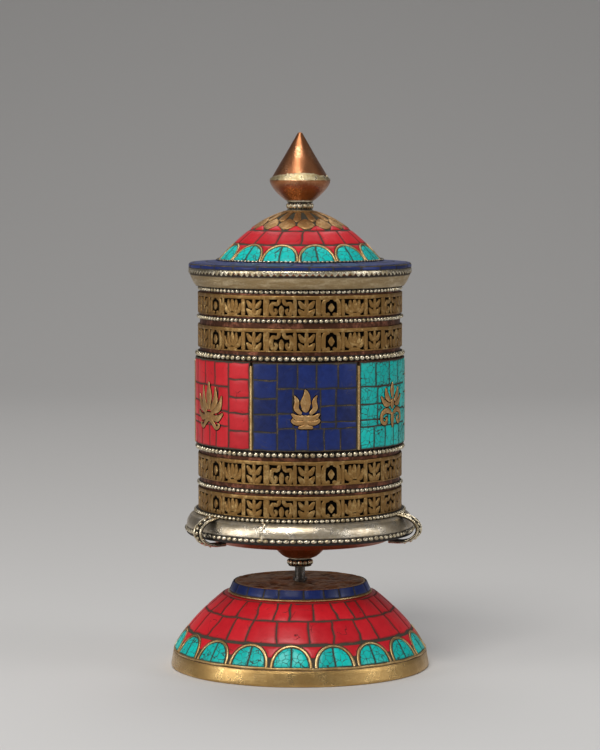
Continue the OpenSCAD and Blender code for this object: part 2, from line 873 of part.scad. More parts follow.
module finial_bowl() {
    color(copper) turned(concat(
        [[stud_r + run_clear, z_bowl]], bowl_line(0),
        reversed([for (i = [1:bowl_steps]) bowl_line(finial_t)[i]]),
        [[finial_foot_r - finial_t, z_bowl + finial_t], [stud_r + run_clear, z_bowl + finial_t]]
    ));
}

// Radius of the finial's cone at height h above the equator
function cone_out(h) = cone_r + (cone_tip_r - cone_r) * h / (cone_h - cone_tip_r / 2);

module finial_cone() {
    shoulder = cone_h - cone_tip_r / 2;
    inner_h = shoulder - 2.5;
    color(copper) turned([
        [cone_r - finial_t, z_equator], [cone_r, z_equator], [cone_tip_r, z_equator + shoulder],
        [cone_tip_r * 0.6, z_equator + cone_h - cone_tip_r * 0.15], [0, z_equator + cone_h],
        [0, z_equator + inner_h]
    ]);
}

module finial_seam() {
    color(silver) turned([
        [cone_r, z_equator], [cone_r + seam_t, z_equator],
        [cone_out(seam_h) + seam_t, z_equator + seam_h], [cone_out(seam_h), z_equator + seam_h]
    ]);
}

module finial_nut() {
    color(brass) translate([0, 0, z_nut]) difference() {
        cylinder(r = finial_nut_r, h = finial_nut_h);
        translate([0, 0, -past]) cylinder(r = stud_r + run_clear, h = finial_nut_h - stud_room + past);
    }
}

foot_ring();
foot_wire();
base_shell();
base_coral_mosaic();
base_turquoise_lobes();
base_lobe_wires();
base_collar_wire();
base_lapis_collar();
base_top_plate();
base_weight();
base_cover();
spindle();
spindle_washer();
spindle_nut();
pivot_ball();
drum_shell();
drum_floor();
bearing_boss();
boss_bead_ring();
guide_bush();
axle_tube();
pivot_plug();
prayer_scroll();
scroll_wrap();
skirt_ring();
skirt_bead_lower();
skirt_bead_upper();
turning_loop_1();
turning_loop_2();
turning_loop_3();
fret_band_1();
fret_band_2();
fret_band_3();
fret_band_4();
bead_wire_1();
bead_wire_2();
bead_wire_3();
bead_wire_4();
bead_wire_5();
panel_dividers();
coral_panels();
lapis_panels();
turquoise_panels();
panel_ornaments();
cornice_ring();
gallery_strip();
lid_plate();
lid_sleeve();
lapis_brim();
dome_shell();
dome_coral_mosaic();
dome_turquoise_lobes();
dome_lobe_wires();
dome_petals();
dome_foot_wire();
neck_bead_ring();
finial_bowl();
finial_cone();
finial_seam();
finial_nut();
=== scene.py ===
"""Looks of a tabletop prayer wheel, laid over its CAD frame.

A stone-set bell base carries a drum that turns on a spindle, under a lift-off
lid with a screw-on finial. Each sub-assembly is a class that works out its
surfaces in millimetres, puts them into meshes in metres and gives them their
finish. Angles go round the upright axis in degrees, from the front towards +X.
"""

import json
import logging
import math
from collections.abc import Callable, Sequence
from dataclasses import dataclass, field
from enum import Enum
from functools import partialmethod

import bpy
import numpy as np
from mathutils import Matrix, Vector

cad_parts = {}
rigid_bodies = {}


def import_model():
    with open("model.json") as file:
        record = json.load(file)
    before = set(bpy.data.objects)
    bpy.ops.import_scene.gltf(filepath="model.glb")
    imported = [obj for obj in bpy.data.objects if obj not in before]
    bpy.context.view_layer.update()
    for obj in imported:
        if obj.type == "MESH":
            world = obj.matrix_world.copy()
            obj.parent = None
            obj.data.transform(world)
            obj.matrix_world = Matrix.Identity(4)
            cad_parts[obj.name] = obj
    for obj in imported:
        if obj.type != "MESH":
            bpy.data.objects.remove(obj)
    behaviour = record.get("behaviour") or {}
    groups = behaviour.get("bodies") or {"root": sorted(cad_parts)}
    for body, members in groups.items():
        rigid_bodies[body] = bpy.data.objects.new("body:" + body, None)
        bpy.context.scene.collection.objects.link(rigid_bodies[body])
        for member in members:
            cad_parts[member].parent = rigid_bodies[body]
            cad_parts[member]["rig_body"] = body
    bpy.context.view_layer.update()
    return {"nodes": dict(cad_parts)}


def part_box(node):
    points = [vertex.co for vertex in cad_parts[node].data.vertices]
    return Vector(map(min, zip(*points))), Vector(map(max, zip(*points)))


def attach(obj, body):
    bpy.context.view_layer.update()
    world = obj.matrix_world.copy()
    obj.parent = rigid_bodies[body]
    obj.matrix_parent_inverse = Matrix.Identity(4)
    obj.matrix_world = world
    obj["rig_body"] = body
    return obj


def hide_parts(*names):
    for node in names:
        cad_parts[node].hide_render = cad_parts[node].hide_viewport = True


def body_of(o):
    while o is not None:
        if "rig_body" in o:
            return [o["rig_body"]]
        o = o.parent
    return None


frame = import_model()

MM = 0.001
TURN = 360.0

Array = np.ndarray
Colour = tuple[float, float, float]
Part = dict[str, object]
Wobble = Callable[[Array, Array], Array]

log = logging.getLogger("prayer_wheel")


def screen(red: int, green: int, blue: int) -> Colour:
    """Linear colour of a screen colour whose parts run from 0 to 255.

    Args:
        red: its red part.
        green: its green part.
        blue: its blue part.

    Returns:
        Its linear parts, from 0 to 1.
    """
    parts = np.array([red, green, blue]) / 255
    linear = np.where(parts <= 0.04045, parts / 12.92, ((parts + 0.055) / 1.055) ** 2.4)
    return tuple(float(part) for part in linear)


# ---------------------------------------------------------------- materials


class Sock:
    """A shader socket whose arithmetic adds Math nodes."""

    def __init__(self, tree: bpy.types.NodeTree, socket: bpy.types.NodeSocket) -> None:
        """Wraps one output socket of a tree."""
        self.tree = tree
        self.socket = socket

    def feed(self, target: bpy.types.NodeSocket) -> None:
        """Links this output to a node's input."""
        self.tree.links.new(self.socket, target)

    def with_node(self, operation: str, other: "Sock | float", swapped: bool = False) -> "Sock":
        """One Math node on this value and another.

        Args:
            operation: the Math node's operation.
            other: its other value.
            swapped: whether the other value comes first.

        Returns:
            The node's output.
        """
        node = self.tree.nodes.new("ShaderNodeMath")
        node.operation = operation
        for target, value in zip(node.inputs, (other, self) if swapped else (self, other)):
            put(target, value)
        return Sock(self.tree, node.outputs[0])

    __add__ = partialmethod(with_node, "ADD")
    __radd__ = partialmethod(with_node, "ADD", swapped=True)
    __sub__ = partialmethod(with_node, "SUBTRACT")
    __rsub__ = partialmethod(with_node, "SUBTRACT", swapped=True)
    __mul__ = partialmethod(with_node, "MULTIPLY")
    __rmul__ = partialmethod(with_node, "MULTIPLY", swapped=True)
    larger = partialmethod(with_node, "MAXIMUM")
    smaller = partialmethod(with_node, "MINIMUM")

    def limited(self) -> "Sock":
        """The value kept between 0 and 1."""
        return self.larger(0.0).smaller(1.0)


Value = Sock | float | Colour


def put(target: bpy.types.NodeSocket, value: Value) -> None:
    """Links a socket to an input, or sets the input to a number or colour.

    Args:
        target: the input.
        value: what it gets.
    """
    if isinstance(value, Sock):
        value.feed(target)
    elif isinstance(value, tuple) and target.type == "RGBA":
        target.default_value = (*value, 1.0)
    else:
        target.default_value = value


class Recipe:
    """A material's node tree while it is put together."""

    def __init__(self, name: str) -> None:
        """Starts an empty material of that name.

        Args:
            name: the material's name.
        """
        self.material = bpy.data.materials.new(name)
        self.material.use_nodes = True
        self.tree = self.material.node_tree
        self.tree.nodes.clear()

    def node(
        self,
        kind: str,
        settings: dict[str, object] | None = None,
        inputs: dict[str | int, Value] | None = None,
        output: str | int = 0,
    ) -> Sock:
        """Adds a node of any kind.

        Args:
            kind: the node's type, without its ShaderNode prefix.
            settings: its properties, which are set before its sockets. "stops"
                are a ramp's positions and colours.
            inputs: a number, colour or link for each of its sockets.
            output: the name or index of the output that is wanted.

        Returns:
            That output.
        """
        made = self.tree.nodes.new("ShaderNode" + kind)
        for key, value in (settings or {}).items():
            if key != "stops":
                setattr(made, key, value)
                continue
            points = made.color_ramp.elements
            while len(points) < len(value):
                points.new(0.5)
            for point, (position, colour) in zip(points, value):
                point.position, point.color = position, (*colour, 1.0)
        for key, value in (inputs or {}).items():
            put(made.inputs[key], value)
        return Sock(self.tree, made.outputs[output])

    def place(self) -> Sock:
        """The point's Object coordinates."""
        return self.node("TexCoord", output="Object")

    def fact(self, name: str) -> Sock:
        """A number that the mesh carries at its points."""
        return self.node("Attribute", {"attribute_name": name}, output="Fac")

    def noise(
        self, at: Sock, size: float, detail: float = 4.0, rough: float = 0.55, twist: float = 0.0
    ) -> Sock:
        """Cloudy noise.

        Args:
            at: where it is read.
            size: its largest features, in millimetres.
            detail: how many finer layers it has.
            rough: how strong the finer layers are.
            twist: how much it is distorted.

        Returns:
            Its value, mostly from 0.25 to 0.75.
        """
        sockets = {
            "Vector": at, "Scale": 1 / (size * MM), "Detail": detail,
            "Roughness": rough, "Distortion": twist,
        }
        return self.node("TexNoise", {}, sockets, "Fac")

    def warped(self, at: Sock, size: float, reach: float) -> Sock:
        """Coordinates pushed about by coloured noise.

        Args:
            at: where it is read.
            size: the noise's features, in millimetres.
            reach: how far points move, in millimetres.

        Returns:
            The moved coordinates.
        """
        sockets = {"Vector": at, "Scale": 1 / (size * MM), "Detail": 3.0}
        push = self.node("TexNoise", {}, sockets, "Color")
        centred = self.node("VectorMath", {"operation": "SUBTRACT"}, {0: push, 1: (0.5, 0.5, 0.5)})
        scaled = self.node("VectorMath", {"operation": "SCALE"}, {0: centred, "Scale": 2 * reach * MM})
        return self.node("VectorMath", {"operation": "ADD"}, {0: at, 1: scaled})

    def cells(self, at: Sock, size: float, feature: str = "DISTANCE_TO_EDGE") -> Sock:
        """Distances in a pattern of irregular cells.

        Args:
            at: where it is read.
            size: a cell's width, in millimetres.
            feature: which distance, as the Voronoi node names it.

        Returns:
            The distance as a share of a cell.
        """
        settings = {"feature": feature}
        return self.node("TexVoronoi", settings, {"Vector": at, "Scale": 1 / (size * MM)}, "Distance")

    def fade(self, value: Sock, low: float, high: float) -> Sock:
        """Smooth step from 0 at low to 1 at high."""
        sockets = {"Value": value, "From Min": low, "From Max": high, "To Min": 0.0, "To Max": 1.0}
        return self.node("MapRange", {"interpolation_type": "SMOOTHSTEP"}, sockets, "Result")

    def blend(self, share: Value, first: Value, second: Value, kind: str = "MIX") -> Sock:
        """Colour mix from first at share 0 to second at share 1."""
        settings = {"data_type": "RGBA", "blend_type": kind}
        return self.node("Mix", settings, {0: share, 6: first, 7: second}, 2)

    def bump(self, height: Sock, depth: float, strength: float = 1.0, under: Sock | None = None) -> Sock:
        """Bumped normal.

        Args:
            height: the relief, from 0 to 1.
            depth: what a height of 1 stands for, in millimetres.
            strength: how much of it shows.
            under: a normal that it is added to.

        Returns:
            The normal.
        """
        sockets = {"Height": height, "Distance": depth * MM, "Strength": strength}
        if under is not None:
            sockets["Normal"] = under
        return self.node("Bump", {}, sockets, "Normal")

    def finish(
        self, colour: Value, roughness: Value, metallic: Value, normal: Sock | None = None,
        **constants: float,
    ) -> bpy.types.Material:
        """Closes the material with a Principled shader.

        Args:
            colour: its base colour.
            roughness: its roughness.
            metallic: its metallic share.
            normal: its bumped normal.
            **constants: plain numbers for further sockets, with _ for each space.

        Returns:
            The material.
        """
        sockets = {"Base Color": colour, "Roughness": roughness, "Metallic": metallic}
        if normal is not None:
            sockets["Normal"] = normal
        sockets.update({key.replace("_", " "): value for key, value in constants.items()})
        shader = self.node("BsdfPrincipled", {}, sockets, "BSDF")
        put(self.tree.nodes.new("ShaderNodeOutputMaterial").inputs["Surface"], shader)
        return self.material


class Finish:
    """Something that a piece is made of."""

    name: str

    def build(self, recipe: Recipe) -> bpy.types.Material:
        """Puts the finish's nodes into an empty recipe."""
        raise NotImplementedError

    def material(self) -> bpy.types.Material:
        """The finish's material, built once."""
        name = f"{self.name}_finish"
        return bpy.data.materials.get(name) or self.build(Recipe(name))


@dataclass(frozen=True)
class AgedMetal(Finish):
    """Old metal: bright where it is handled, dull between, with real stains, and painted shade in the
    hollows.
    """

    name: str
    bright: Colour
    aged: Colour
    # colour of real stains and of the painted shade in the hollows
    shade_and_grime: Colour
    shine: float = 0.3  # roughness where bright
    dull: float = 0.5  # roughness where aged
    worn: float = 0.5  # share of bright metal
    stains: float = 0.3  # share of dark stains
    patch: float = 7.0  # size of the patches
    pits: float = 0.03  # depth of the pits
    scratches: float = 0.02  # depth of the scratches
    broad: float = 0.16  # depth of the dents
    flow: float = 1.0  # how far patches and stains are drawn out round the piece

    def build(self, recipe: Recipe) -> bpy.types.Material:
        """Patches mix bright and aged metal; stains, and the painted shade of the hollows, turn to the dark
        colour.

        Args:
            recipe: the empty recipe that takes the nodes.

        Returns:
            The finished material.
        """
        at = recipe.place()
        # the mesh's recess values: painted shade in hollows, under wires and between beads
        hollow = recipe.fact("recess")
        drawn = recipe.node("Mapping", {}, {"Vector": at, "Scale": (1.0, 1.0, self.flow)})
        broad = recipe.noise(drawn, self.patch, 5.0, 0.6, 0.4)
        fine = recipe.noise(at, 0.9, 4.0, 0.65)
        bright = recipe.fade(broad * 0.65 + fine * 0.35, 0.72 - 0.5 * self.worn, 0.92 - 0.5 * self.worn)
        blots = recipe.noise(recipe.warped(drawn, 3.0, 1.0), self.patch * 0.55, 6.0, 0.62)
        stain = recipe.fade(blots, 0.78 - 0.3 * self.stains, 0.86 - 0.3 * self.stains)
        # painted shade in the hollows, joined by real stains
        shade_and_grime = recipe.fade(hollow + (fine - 0.5) * 0.5, 0.25, 0.85).larger(stain * 0.85)
        metal = recipe.blend(bright, self.aged, self.bright)
        tinted = recipe.blend(fine, metal, (0.75, 0.75, 0.75), "MULTIPLY")
        colour = recipe.blend(shade_and_grime, tinted, self.shade_and_grime)
        lines = self.scratch_lines(recipe, at)
        rough = self.dull + bright * (self.shine - self.dull) + shade_and_grime * 0.3 + (fine - 0.5) * 0.16
        pitted = recipe.bump(recipe.fade(recipe.noise(at, 0.45, 3.0), 0.3, 0.75), self.pits)
        normal = recipe.bump(lines, self.scratches, 1.0, recipe.bump(broad, self.broad, 0.6, pitted))
        return recipe.finish(colour, rough.limited(), (1.0 - shade_and_grime * 0.75).limited(), normal)

    def scratch_lines(self, recipe: Recipe, at: Sock) -> Sock:
        """Thin level scratches: noise that is stretched along the way round."""
        squeezed = recipe.node("Mapping", {}, {"Vector": at, "Scale": (1.0, 1.0, 9.0)})
        return recipe.fade(recipe.noise(squeezed, 2.2, 5.0, 0.7), 0.45, 0.7)


@dataclass(frozen=True)
class HammeredMetal(AgedMetal):
    """Aged metal that was beaten flat, with broad dimples and a painted highlight along the ridges between
    them.
    """

    dimple: float = 3.2  # width of a dimple
    # colour of the painted highlight along the ridges between dimples
    ridge_highlight: Colour = (0.25, 0.18, 0.10)

    def build(self, recipe: Recipe) -> bpy.types.Material:
        """Cells give the dimples; their borders, the ridges, get a lighter painted highlight, and the dents
        painted shade.

        Args:
            recipe: the empty recipe that takes the nodes.

        Returns:
            The finished material.
        """
        at = recipe.warped(recipe.place(), 4.0, 1.1)
        hollow = recipe.fact("recess")
        edge = recipe.cells(at, self.dimple)
        cell = recipe.cells(at, self.dimple, "F1")
        fine = recipe.noise(at, 0.9, 5.0, 0.65)
        broad = recipe.noise(at, self.patch, 5.0, 0.6, 0.5)
        metal = recipe.blend(recipe.fade(broad, 0.35, 0.65), self.aged, self.bright)
        # painted highlight along the cell borders, the ridges between dimples
        seam = (1.0 - recipe.fade(edge + (fine - 0.5) * 0.16, 0.0, 0.15)) * 0.9
        highlighted = recipe.blend(seam, metal, self.ridge_highlight)
        # painted shade in the dents and underneath, with broad darker patches
        shade_and_grime = recipe.fade(hollow + (broad - 0.5) * 0.8, 0.3, 0.8)
        colour = recipe.blend(shade_and_grime, highlighted, self.shade_and_grime)
        rough = (self.dull + (fine - 0.5) * 0.3 + shade_and_grime * 0.2).limited()
        dimpled = recipe.bump(recipe.fade(cell, 0.0, 0.9), 0.35, 0.7)
        normal = recipe.bump(fine, self.pits, 1.0, dimpled)
        return recipe.finish(colour, rough, 0.85, normal)


@dataclass(frozen=True)
class Stone(Finish):
    """Cut and polished stones, each a little different, with cracks and veins."""

    name: str
    light: Colour
    deep: Colour
    vein: Colour
    # colour of the painted shade at the stones' borders and sides
    edge: Colour
    vein_size: float = 4.0
    vein_width: float = 0.03
    vein_share: float = 0.5
    gloss: float = 0.32  # roughness of the polish
    cloud: float = 2.4  # size of the mottling

    def build(self, recipe: Recipe) -> bpy.types.Material:
        """Tone by stone and mottling; veins are the borders of warped cells; painted shade darkens each
        stone's border and sides.

        Args:
            recipe: the empty recipe that takes the nodes.

        Returns:
            The finished material.
        """
        at = recipe.place()
        tone = recipe.fact("tile")
        rim = recipe.fact("recess")
        mottle = recipe.noise(at, self.cloud, 6.0, 0.62, 0.6)
        fine = recipe.noise(at, 0.5, 4.0, 0.6)
        body = recipe.blend((mottle * 0.9 + tone * 0.55 - 0.22).limited(), self.deep, self.light)
        speckled = recipe.blend(recipe.fade(fine, 0.58, 0.75) * 0.35, body, self.deep)
        cracks = recipe.cells(recipe.warped(at, 2.6, 0.9), self.vein_size)
        share = self.vein_share
        open_part = recipe.fade(recipe.noise(at, 5.0, 3.0), 0.62 - 0.3 * share, 0.7 - 0.2 * share)
        vein = (1.0 - recipe.fade(cracks + (fine - 0.5) * 0.03, 0.0, self.vein_width)) * open_part
        veined = recipe.blend(vein, speckled, self.vein)
        # painted shade: towards the edge colour at each stone's border and down its sides
        colour = recipe.blend((rim * 0.85 + (fine - 0.5) * rim).limited(), veined, self.edge)
        rough = (self.gloss + vein * 0.35 + rim * 0.3 + (mottle - 0.5) * 0.2).limited()
        scraped = recipe.bump(mottle, 0.08, 0.5)
        normal = recipe.bump(1.0 - vein, 0.05, 0.8, scraped)
        return recipe.finish(colour, rough, 0.0, normal, Specular_IOR_Level=0.32)


@dataclass(frozen=True)
class Grout(Finish):
    """Dark filler between stones, with metal dust in it."""

    name: str
    dark: Colour
    dust: Colour
    dust_share: float = 0.3

    def build(self, recipe: Recipe) -> bpy.types.Material:
        """Fine noise shows the dust, a coarser one lets it come in patches.

        Args:
            recipe: the empty recipe that takes the nodes.

        Returns:
            The finished material.
        """
        at = recipe.place()
        grain = recipe.noise(at, 0.35, 4.0, 0.7)
        patches = recipe.noise(at, 4.0, 3.0)
        dust = recipe.fade(grain * 0.5 + patches * 0.5, 0.66 - 0.3 * self.dust_share, 0.74)
        colour = recipe.blend(dust, self.dark, self.dust)
        rough = (0.75 - dust * 0.3).limited()
        return recipe.finish(colour, rough, dust * 0.5, recipe.bump(grain, 0.06))


class Weave(Enum):
    """What a soft or crumbly material is made of."""

    CLOTH = "cloth"
    PAPER = "paper"
    PLASTER = "plaster"


@dataclass(frozen=True)
class Fibre(Finish):
    """Cloth, paper or plaster: matt, with threads, fibres or grains."""

    name: str
    kind: Weave
    light: Colour
    deep: Colour

    def build(self, recipe: Recipe) -> bpy.types.Material:
        """Crossed waves make the cloth's threads; paper and plaster get noise.

        Args:
            recipe: the empty recipe that takes the nodes.

        Returns:
            The finished material.
        """
        at = recipe.place()
        broad = recipe.noise(at, 9.0, 5.0, 0.6)
        fine = recipe.noise(at, 0.5, 5.0, 0.7)
        relief, depth = fine, 0.08
        if self.kind is Weave.CLOTH:
            threads = {"Vector": at, "Scale": 1 / (1.2 * MM), "Distortion": 0.4}
            warp = recipe.node("TexWave", {"bands_direction": "DIAGONAL"}, threads, "Fac")
            weft = recipe.node("TexWave", {"bands_direction": "Z"}, threads, "Fac")
            relief, depth = (warp * weft + fine * 0.3).limited(), 0.12
        if self.kind is Weave.PAPER:
            depth = 0.03
        colour = recipe.blend((broad * 0.6 + relief * 0.5).limited(), self.deep, self.light)
        rough = (0.78 + (fine - 0.5) * 0.2).limited()
        return recipe.finish(colour, rough, 0.0, recipe.bump(relief, depth), Specular_IOR_Level=0.25)


@dataclass(frozen=True)
class Backing(Finish):
    """Plain studio paper, painted darker towards the back as a painted falloff of light."""

    name: str
    high: Colour
    low: Colour
    level: float  # depth where the darkest tone is reached, in metres

    def build(self, recipe: Recipe) -> bpy.types.Material:
        """Depth blends the two tones, a painted falloff of light; fine noise is the paper's tooth.

        Args:
            recipe: the empty recipe that takes the nodes.

        Returns:
            The finished material.
        """
        at = recipe.place()
        away = recipe.node("SeparateXYZ", {}, {"Vector": at}, "Y")
        # painted shade: the paper darkens with depth, standing in for light falling off
        share = recipe.fade(away + recipe.noise(at, 400.0, 2.0) * 0.02, -0.35, self.level)
        colour = recipe.blend(share, self.low, self.high)
        tooth = recipe.bump(recipe.noise(at, 0.8, 2.0), 0.02, 0.3)
        return recipe.finish(colour, 0.85, 0.0, tooth, Specular_IOR_Level=0.1)


BRASS = AgedMetal(
    "aged_brass", screen(228, 196, 142), screen(188, 152, 98), screen(40, 29, 18),
    shine=0.28, dull=0.44, worn=0.62, stains=0.16, patch=6.0,
)
FRET_BRASS = AgedMetal(
    "fret_brass", screen(204, 170, 114), screen(150, 114, 66), screen(18, 14, 10),
    shine=0.34, stains=0.34, patch=3.5, pits=0.05,
)
ORNAMENT_BRASS = AgedMetal(
    "ornament_brass", screen(226, 186, 130), screen(188, 144, 92), screen(34, 24, 16),
    shine=0.36, worn=0.55, stains=0.22, patch=3.0, pits=0.04,
)
FOOT_BRASS = AgedMetal(
    "foot_brass", screen(228, 190, 126), screen(204, 164, 102), screen(66, 42, 22),
    shine=0.24, dull=0.34, worn=0.6, stains=0.2, patch=10.0, broad=0.08,
)
SILVER = AgedMetal(
    "german_silver", screen(240, 228, 202), screen(178, 160, 124), screen(16, 12, 8),
    shine=0.2, dull=0.34, worn=0.66, stains=0.16, patch=4.0,
)
SKIRT_SILVER = AgedMetal(
    "skirt_silver", screen(240, 228, 208), screen(206, 188, 158), screen(30, 22, 14),
    shine=0.24, dull=0.34, worn=0.62, stains=0.16, pits=0.02, broad=0.06,
)
SOLDER = AgedMetal(
    "solder", screen(236, 220, 180), screen(204, 182, 134), screen(84, 64, 40),
    shine=0.24, dull=0.42, worn=0.6, stains=0.24, patch=2.5, pits=0.08,
)
WORKED_SILVER = AgedMetal(
    "worked_silver", screen(212, 192, 156), screen(176, 152, 112), screen(50, 38, 26),
    shine=0.32, dull=0.42, worn=0.55, stains=0.26, patch=8.0, scratches=0.08, flow=5.0,
)
COPPER = AgedMetal(
    "copper", screen(232, 150, 100), screen(186, 106, 62), screen(54, 30, 20),
    shine=0.28, dull=0.42, stains=0.2, patch=12.0,
)
FINIAL_COPPER = AgedMetal(
    "finial_copper", screen(216, 158, 118), screen(174, 114, 76), screen(60, 36, 24),
    shine=0.2, dull=0.32, stains=0.18, patch=8.0,
)
DARK_COPPER = AgedMetal(
    "dark_copper", screen(168, 108, 84), screen(92, 60, 46), screen(16, 12, 9),
    shine=0.4, dull=0.55, stains=0.45, patch=4.0,
)
# its lighter ridge colour is a painted highlight on the beaten relief
PLATE_COPPER = HammeredMetal(
    "hammered_copper", screen(176, 146, 118), screen(128, 100, 76), screen(50, 37, 26),
    shine=0.4, worn=0.4, dimple=4.6, ridge_highlight=screen(182, 154, 120),
)
STEEL = AgedMetal(
    "steel", screen(150, 148, 146), screen(92, 88, 82), screen(30, 26, 22),
    shine=0.24, dull=0.42, worn=0.55, patch=4.0, scratches=0.03,
)
BLACK_GROUND = AgedMetal(
    "black_ground", screen(40, 31, 22), screen(20, 16, 12), screen(8, 6, 5),
    shine=0.55, dull=0.75, worn=0.35, stains=0.5, patch=3.0,
)
CORAL = Stone(
    "coral_stone", screen(212, 34, 44), screen(172, 14, 28), screen(70, 10, 14), screen(56, 16, 14),
    vein_size=6.5, vein_width=0.02, vein_share=0.3, gloss=0.36, cloud=3.0,
)
TURQUOISE = Stone(
    "turquoise_stone", screen(0, 206, 196), screen(0, 158, 152), screen(44, 34, 24),
    screen(30, 44, 34), vein_size=2.3, vein_width=0.06, vein_share=1.0, gloss=0.34, cloud=1.6,
)
LAPIS = Stone(
    "lapis_stone", screen(26, 48, 118), screen(10, 20, 62), screen(58, 56, 76), screen(26, 26, 34),
    vein_size=5.0, vein_width=0.02, vein_share=0.3, gloss=0.36, cloud=2.0,
)
DARK_GROUT = Grout("dark_grout", screen(54, 50, 38), screen(112, 98, 66), 0.42)
GOLD_GROUT = Grout("gold_grout", screen(46, 40, 28), screen(134, 110, 62), 0.6)
BROWN_GROUT = Grout("brown_grout", screen(60, 36, 22), screen(96, 70, 40))
PAPER = Fibre("prayer_paper", Weave.PAPER, screen(226, 210, 176), screen(196, 174, 134))
CLOTH = Fibre("yellow_cloth", Weave.CLOTH, screen(226, 166, 58), screen(184, 118, 30))
PLASTER = Fibre("base_plaster", Weave.PLASTER, screen(190, 184, 172), screen(150, 144, 134))
# paper painted a little darker towards the back, a painted falloff of light
BACKDROP = Backing("studio_paper", screen(188, 186, 184), screen(199, 198, 197), 0.75)


# ----------------------------------------------------------------- surfaces


@dataclass(frozen=True)
class Span:
    """Lowest and highest level and outer radius of a turned CAD node, in mm."""

    low: float
    high: float
    radius: float

    @classmethod
    def of(cls, node: str) -> "Span":
        """Measures a CAD node's box."""
        low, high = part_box(node)
        return cls(low.z / MM, high.z / MM, max(high.x, -low.x, high.y, -low.y) / MM)


def measured(node: str) -> Span:
    """A dataclass field that measures a CAD node when it is wanted."""
    return field(default_factory=lambda: Span.of(node))


def steps_round(segments: int) -> Array:
    """One row of angles in equal steps round the axis."""
    return (np.arange(segments) * TURN / segments)[None, :]


def about_axis(angle: Array, radius: Array, height: Array) -> Array:
    """Points at an angle from the front, a radius and a height."""
    turn = np.radians(angle)
    return np.stack([radius * np.sin(turn), -radius * np.cos(turn), height], -1)


class Waves:
    """Smooth irregularity round the axis, from -1 to 1 or so."""

    def __init__(self, seed: int, count: int = 7, slowest: int = 2, fastest: int = 23) -> None:
        """Draws the waves.

        Args:
            seed: picks them.
            count: how many are added up.
            slowest: fewest periods round the axis.
            fastest: most periods round the axis.
        """
        rng = np.random.default_rng(seed)
        self.turns = rng.integers(slowest, fastest + 1, count)
        self.rise = rng.uniform(-0.5, 0.5, count) * np.sqrt(self.turns)
        self.phase = rng.uniform(0, 2 * np.pi, count)
        self.size = rng.uniform(0.5, 1.0, count) / math.sqrt(count)

    def __call__(self, angle: Array, length: Array) -> Array:
        """Sum of sines of whole turns plus a share of the length.

        Args:
            angle: degrees from the front.
            length: length along a profile.

        Returns:
            The waves' sum at each place.
        """
        angle, length = np.broadcast_arrays(np.asarray(angle, float), np.asarray(length, float))
        inside = np.radians(angle)[..., None] * self.turns + length[..., None] * self.rise
        return (np.sin(inside + self.phase) * self.size).sum(-1)


class Turned:
    """A surface of turn, addressed by angle and by length along its profile."""

    def __init__(self, radius: Array, height: Array) -> None:
        """Takes a profile from its foot upwards, in millimetres.

        Args:
            radius: radii of the profile's points.
            height: their levels.
        """
        self.radius = np.asarray(radius, float)
        self.height = np.asarray(height, float)
        steps = np.hypot(np.diff(self.radius), np.diff(self.height))
        self.length = np.concatenate([[0.0], np.cumsum(steps)])
        self.out = np.gradient(self.radius, self.length)
        self.up = np.gradient(self.height, self.length)

    @classmethod
    def wall(cls, radius: float, low: float, high: float) -> "Turned":
        """An upright cylinder whose length is counted from its lower edge."""
        return cls(np.full(2, radius), np.array([low, high]))

    @property
    def end(self) -> float:
        """The profile's whole length."""
        return float(self.length[-1])

    def at_level(self, height: float) -> float:
        """The length at which a rising profile reaches a height."""
        return float(np.interp(height, self.height, self.length))

    def radius_at(self, length: Array) -> Array:
        """Radius at a length."""
        return np.interp(length, self.length, self.radius)

    def line(self, lengths: Array, lift: float = 0.0) -> Array:
        """Radius and height of profile points, moved out by lift.

        Args:
            lengths: lengths along the profile.
            lift: how far the points are moved out.

        Returns:
            Radius and height of each.
        """
        out, up = np.interp(lengths, self.length, self.out), np.interp(lengths, self.length, self.up)
        norm = np.hypot(out, up)
        radius = self.radius_at(lengths) + lift * up / norm
        return np.stack([radius, np.interp(lengths, self.length, self.height) - lift * out / norm], -1)

    def at(self, angle: Array, length: Array, lift: Array) -> Array:
        """Points on or over the surface.

        The profile point at that length moves along its normal by lift, and is
        turned about the axis by the angle from the front.

        Args:
            angle: degrees from the front.
            length: length along the profile.
            lift: height over the surface.

        Returns:
            The points, with x, y and z last.
        """
        angle, length, lift = np.broadcast_arrays(angle, length, lift)
        line = self.line(length, lift)
        return about_axis(angle, line[..., 0], line[..., 1])

    def axes(self, angle: Array, length: Array, lift: Array) -> tuple[Array, Array, Array]:
        """Directions to the right, upwards and outwards at points over the surface.

        Args:
            angle: degrees from the front.
            length: length along the profile.
            lift: height over the surface.

        Returns:
            Three arrays of directions, of which right has length 1.
        """
        right = self.at(angle + 0.5, length, lift) - self.at(angle - 0.5, length, lift)
        right /= np.linalg.norm(right, axis=1, keepdims=True)
        out = self.at(angle, length, lift + 1) - self.at(angle, length, lift)
        return right, np.cross(out, right), out

    def wrap(self, turn: Array, flat: Array) -> tuple[Array, Array]:
        """Lays flat drawings on the surface.

        Args:
            turn: the angle of each drawing's middle line.
            flat: points beside that line and along the profile.

        Returns:
            Their angles and lengths.
        """
        beside, length = flat[..., 0], flat[..., 1]
        return turn + np.degrees(beside / np.maximum(self.radius_at(length), 1.0)), length

    def plans(self, turns: Array, flat: Array) -> Array:
        """Angle and length of one flat drawing, laid at each of several turns."""
        angle, length = self.wrap(turns[:, None, None], np.repeat(flat[None], len(turns), axis=0))
        return np.stack([angle, length], -1)


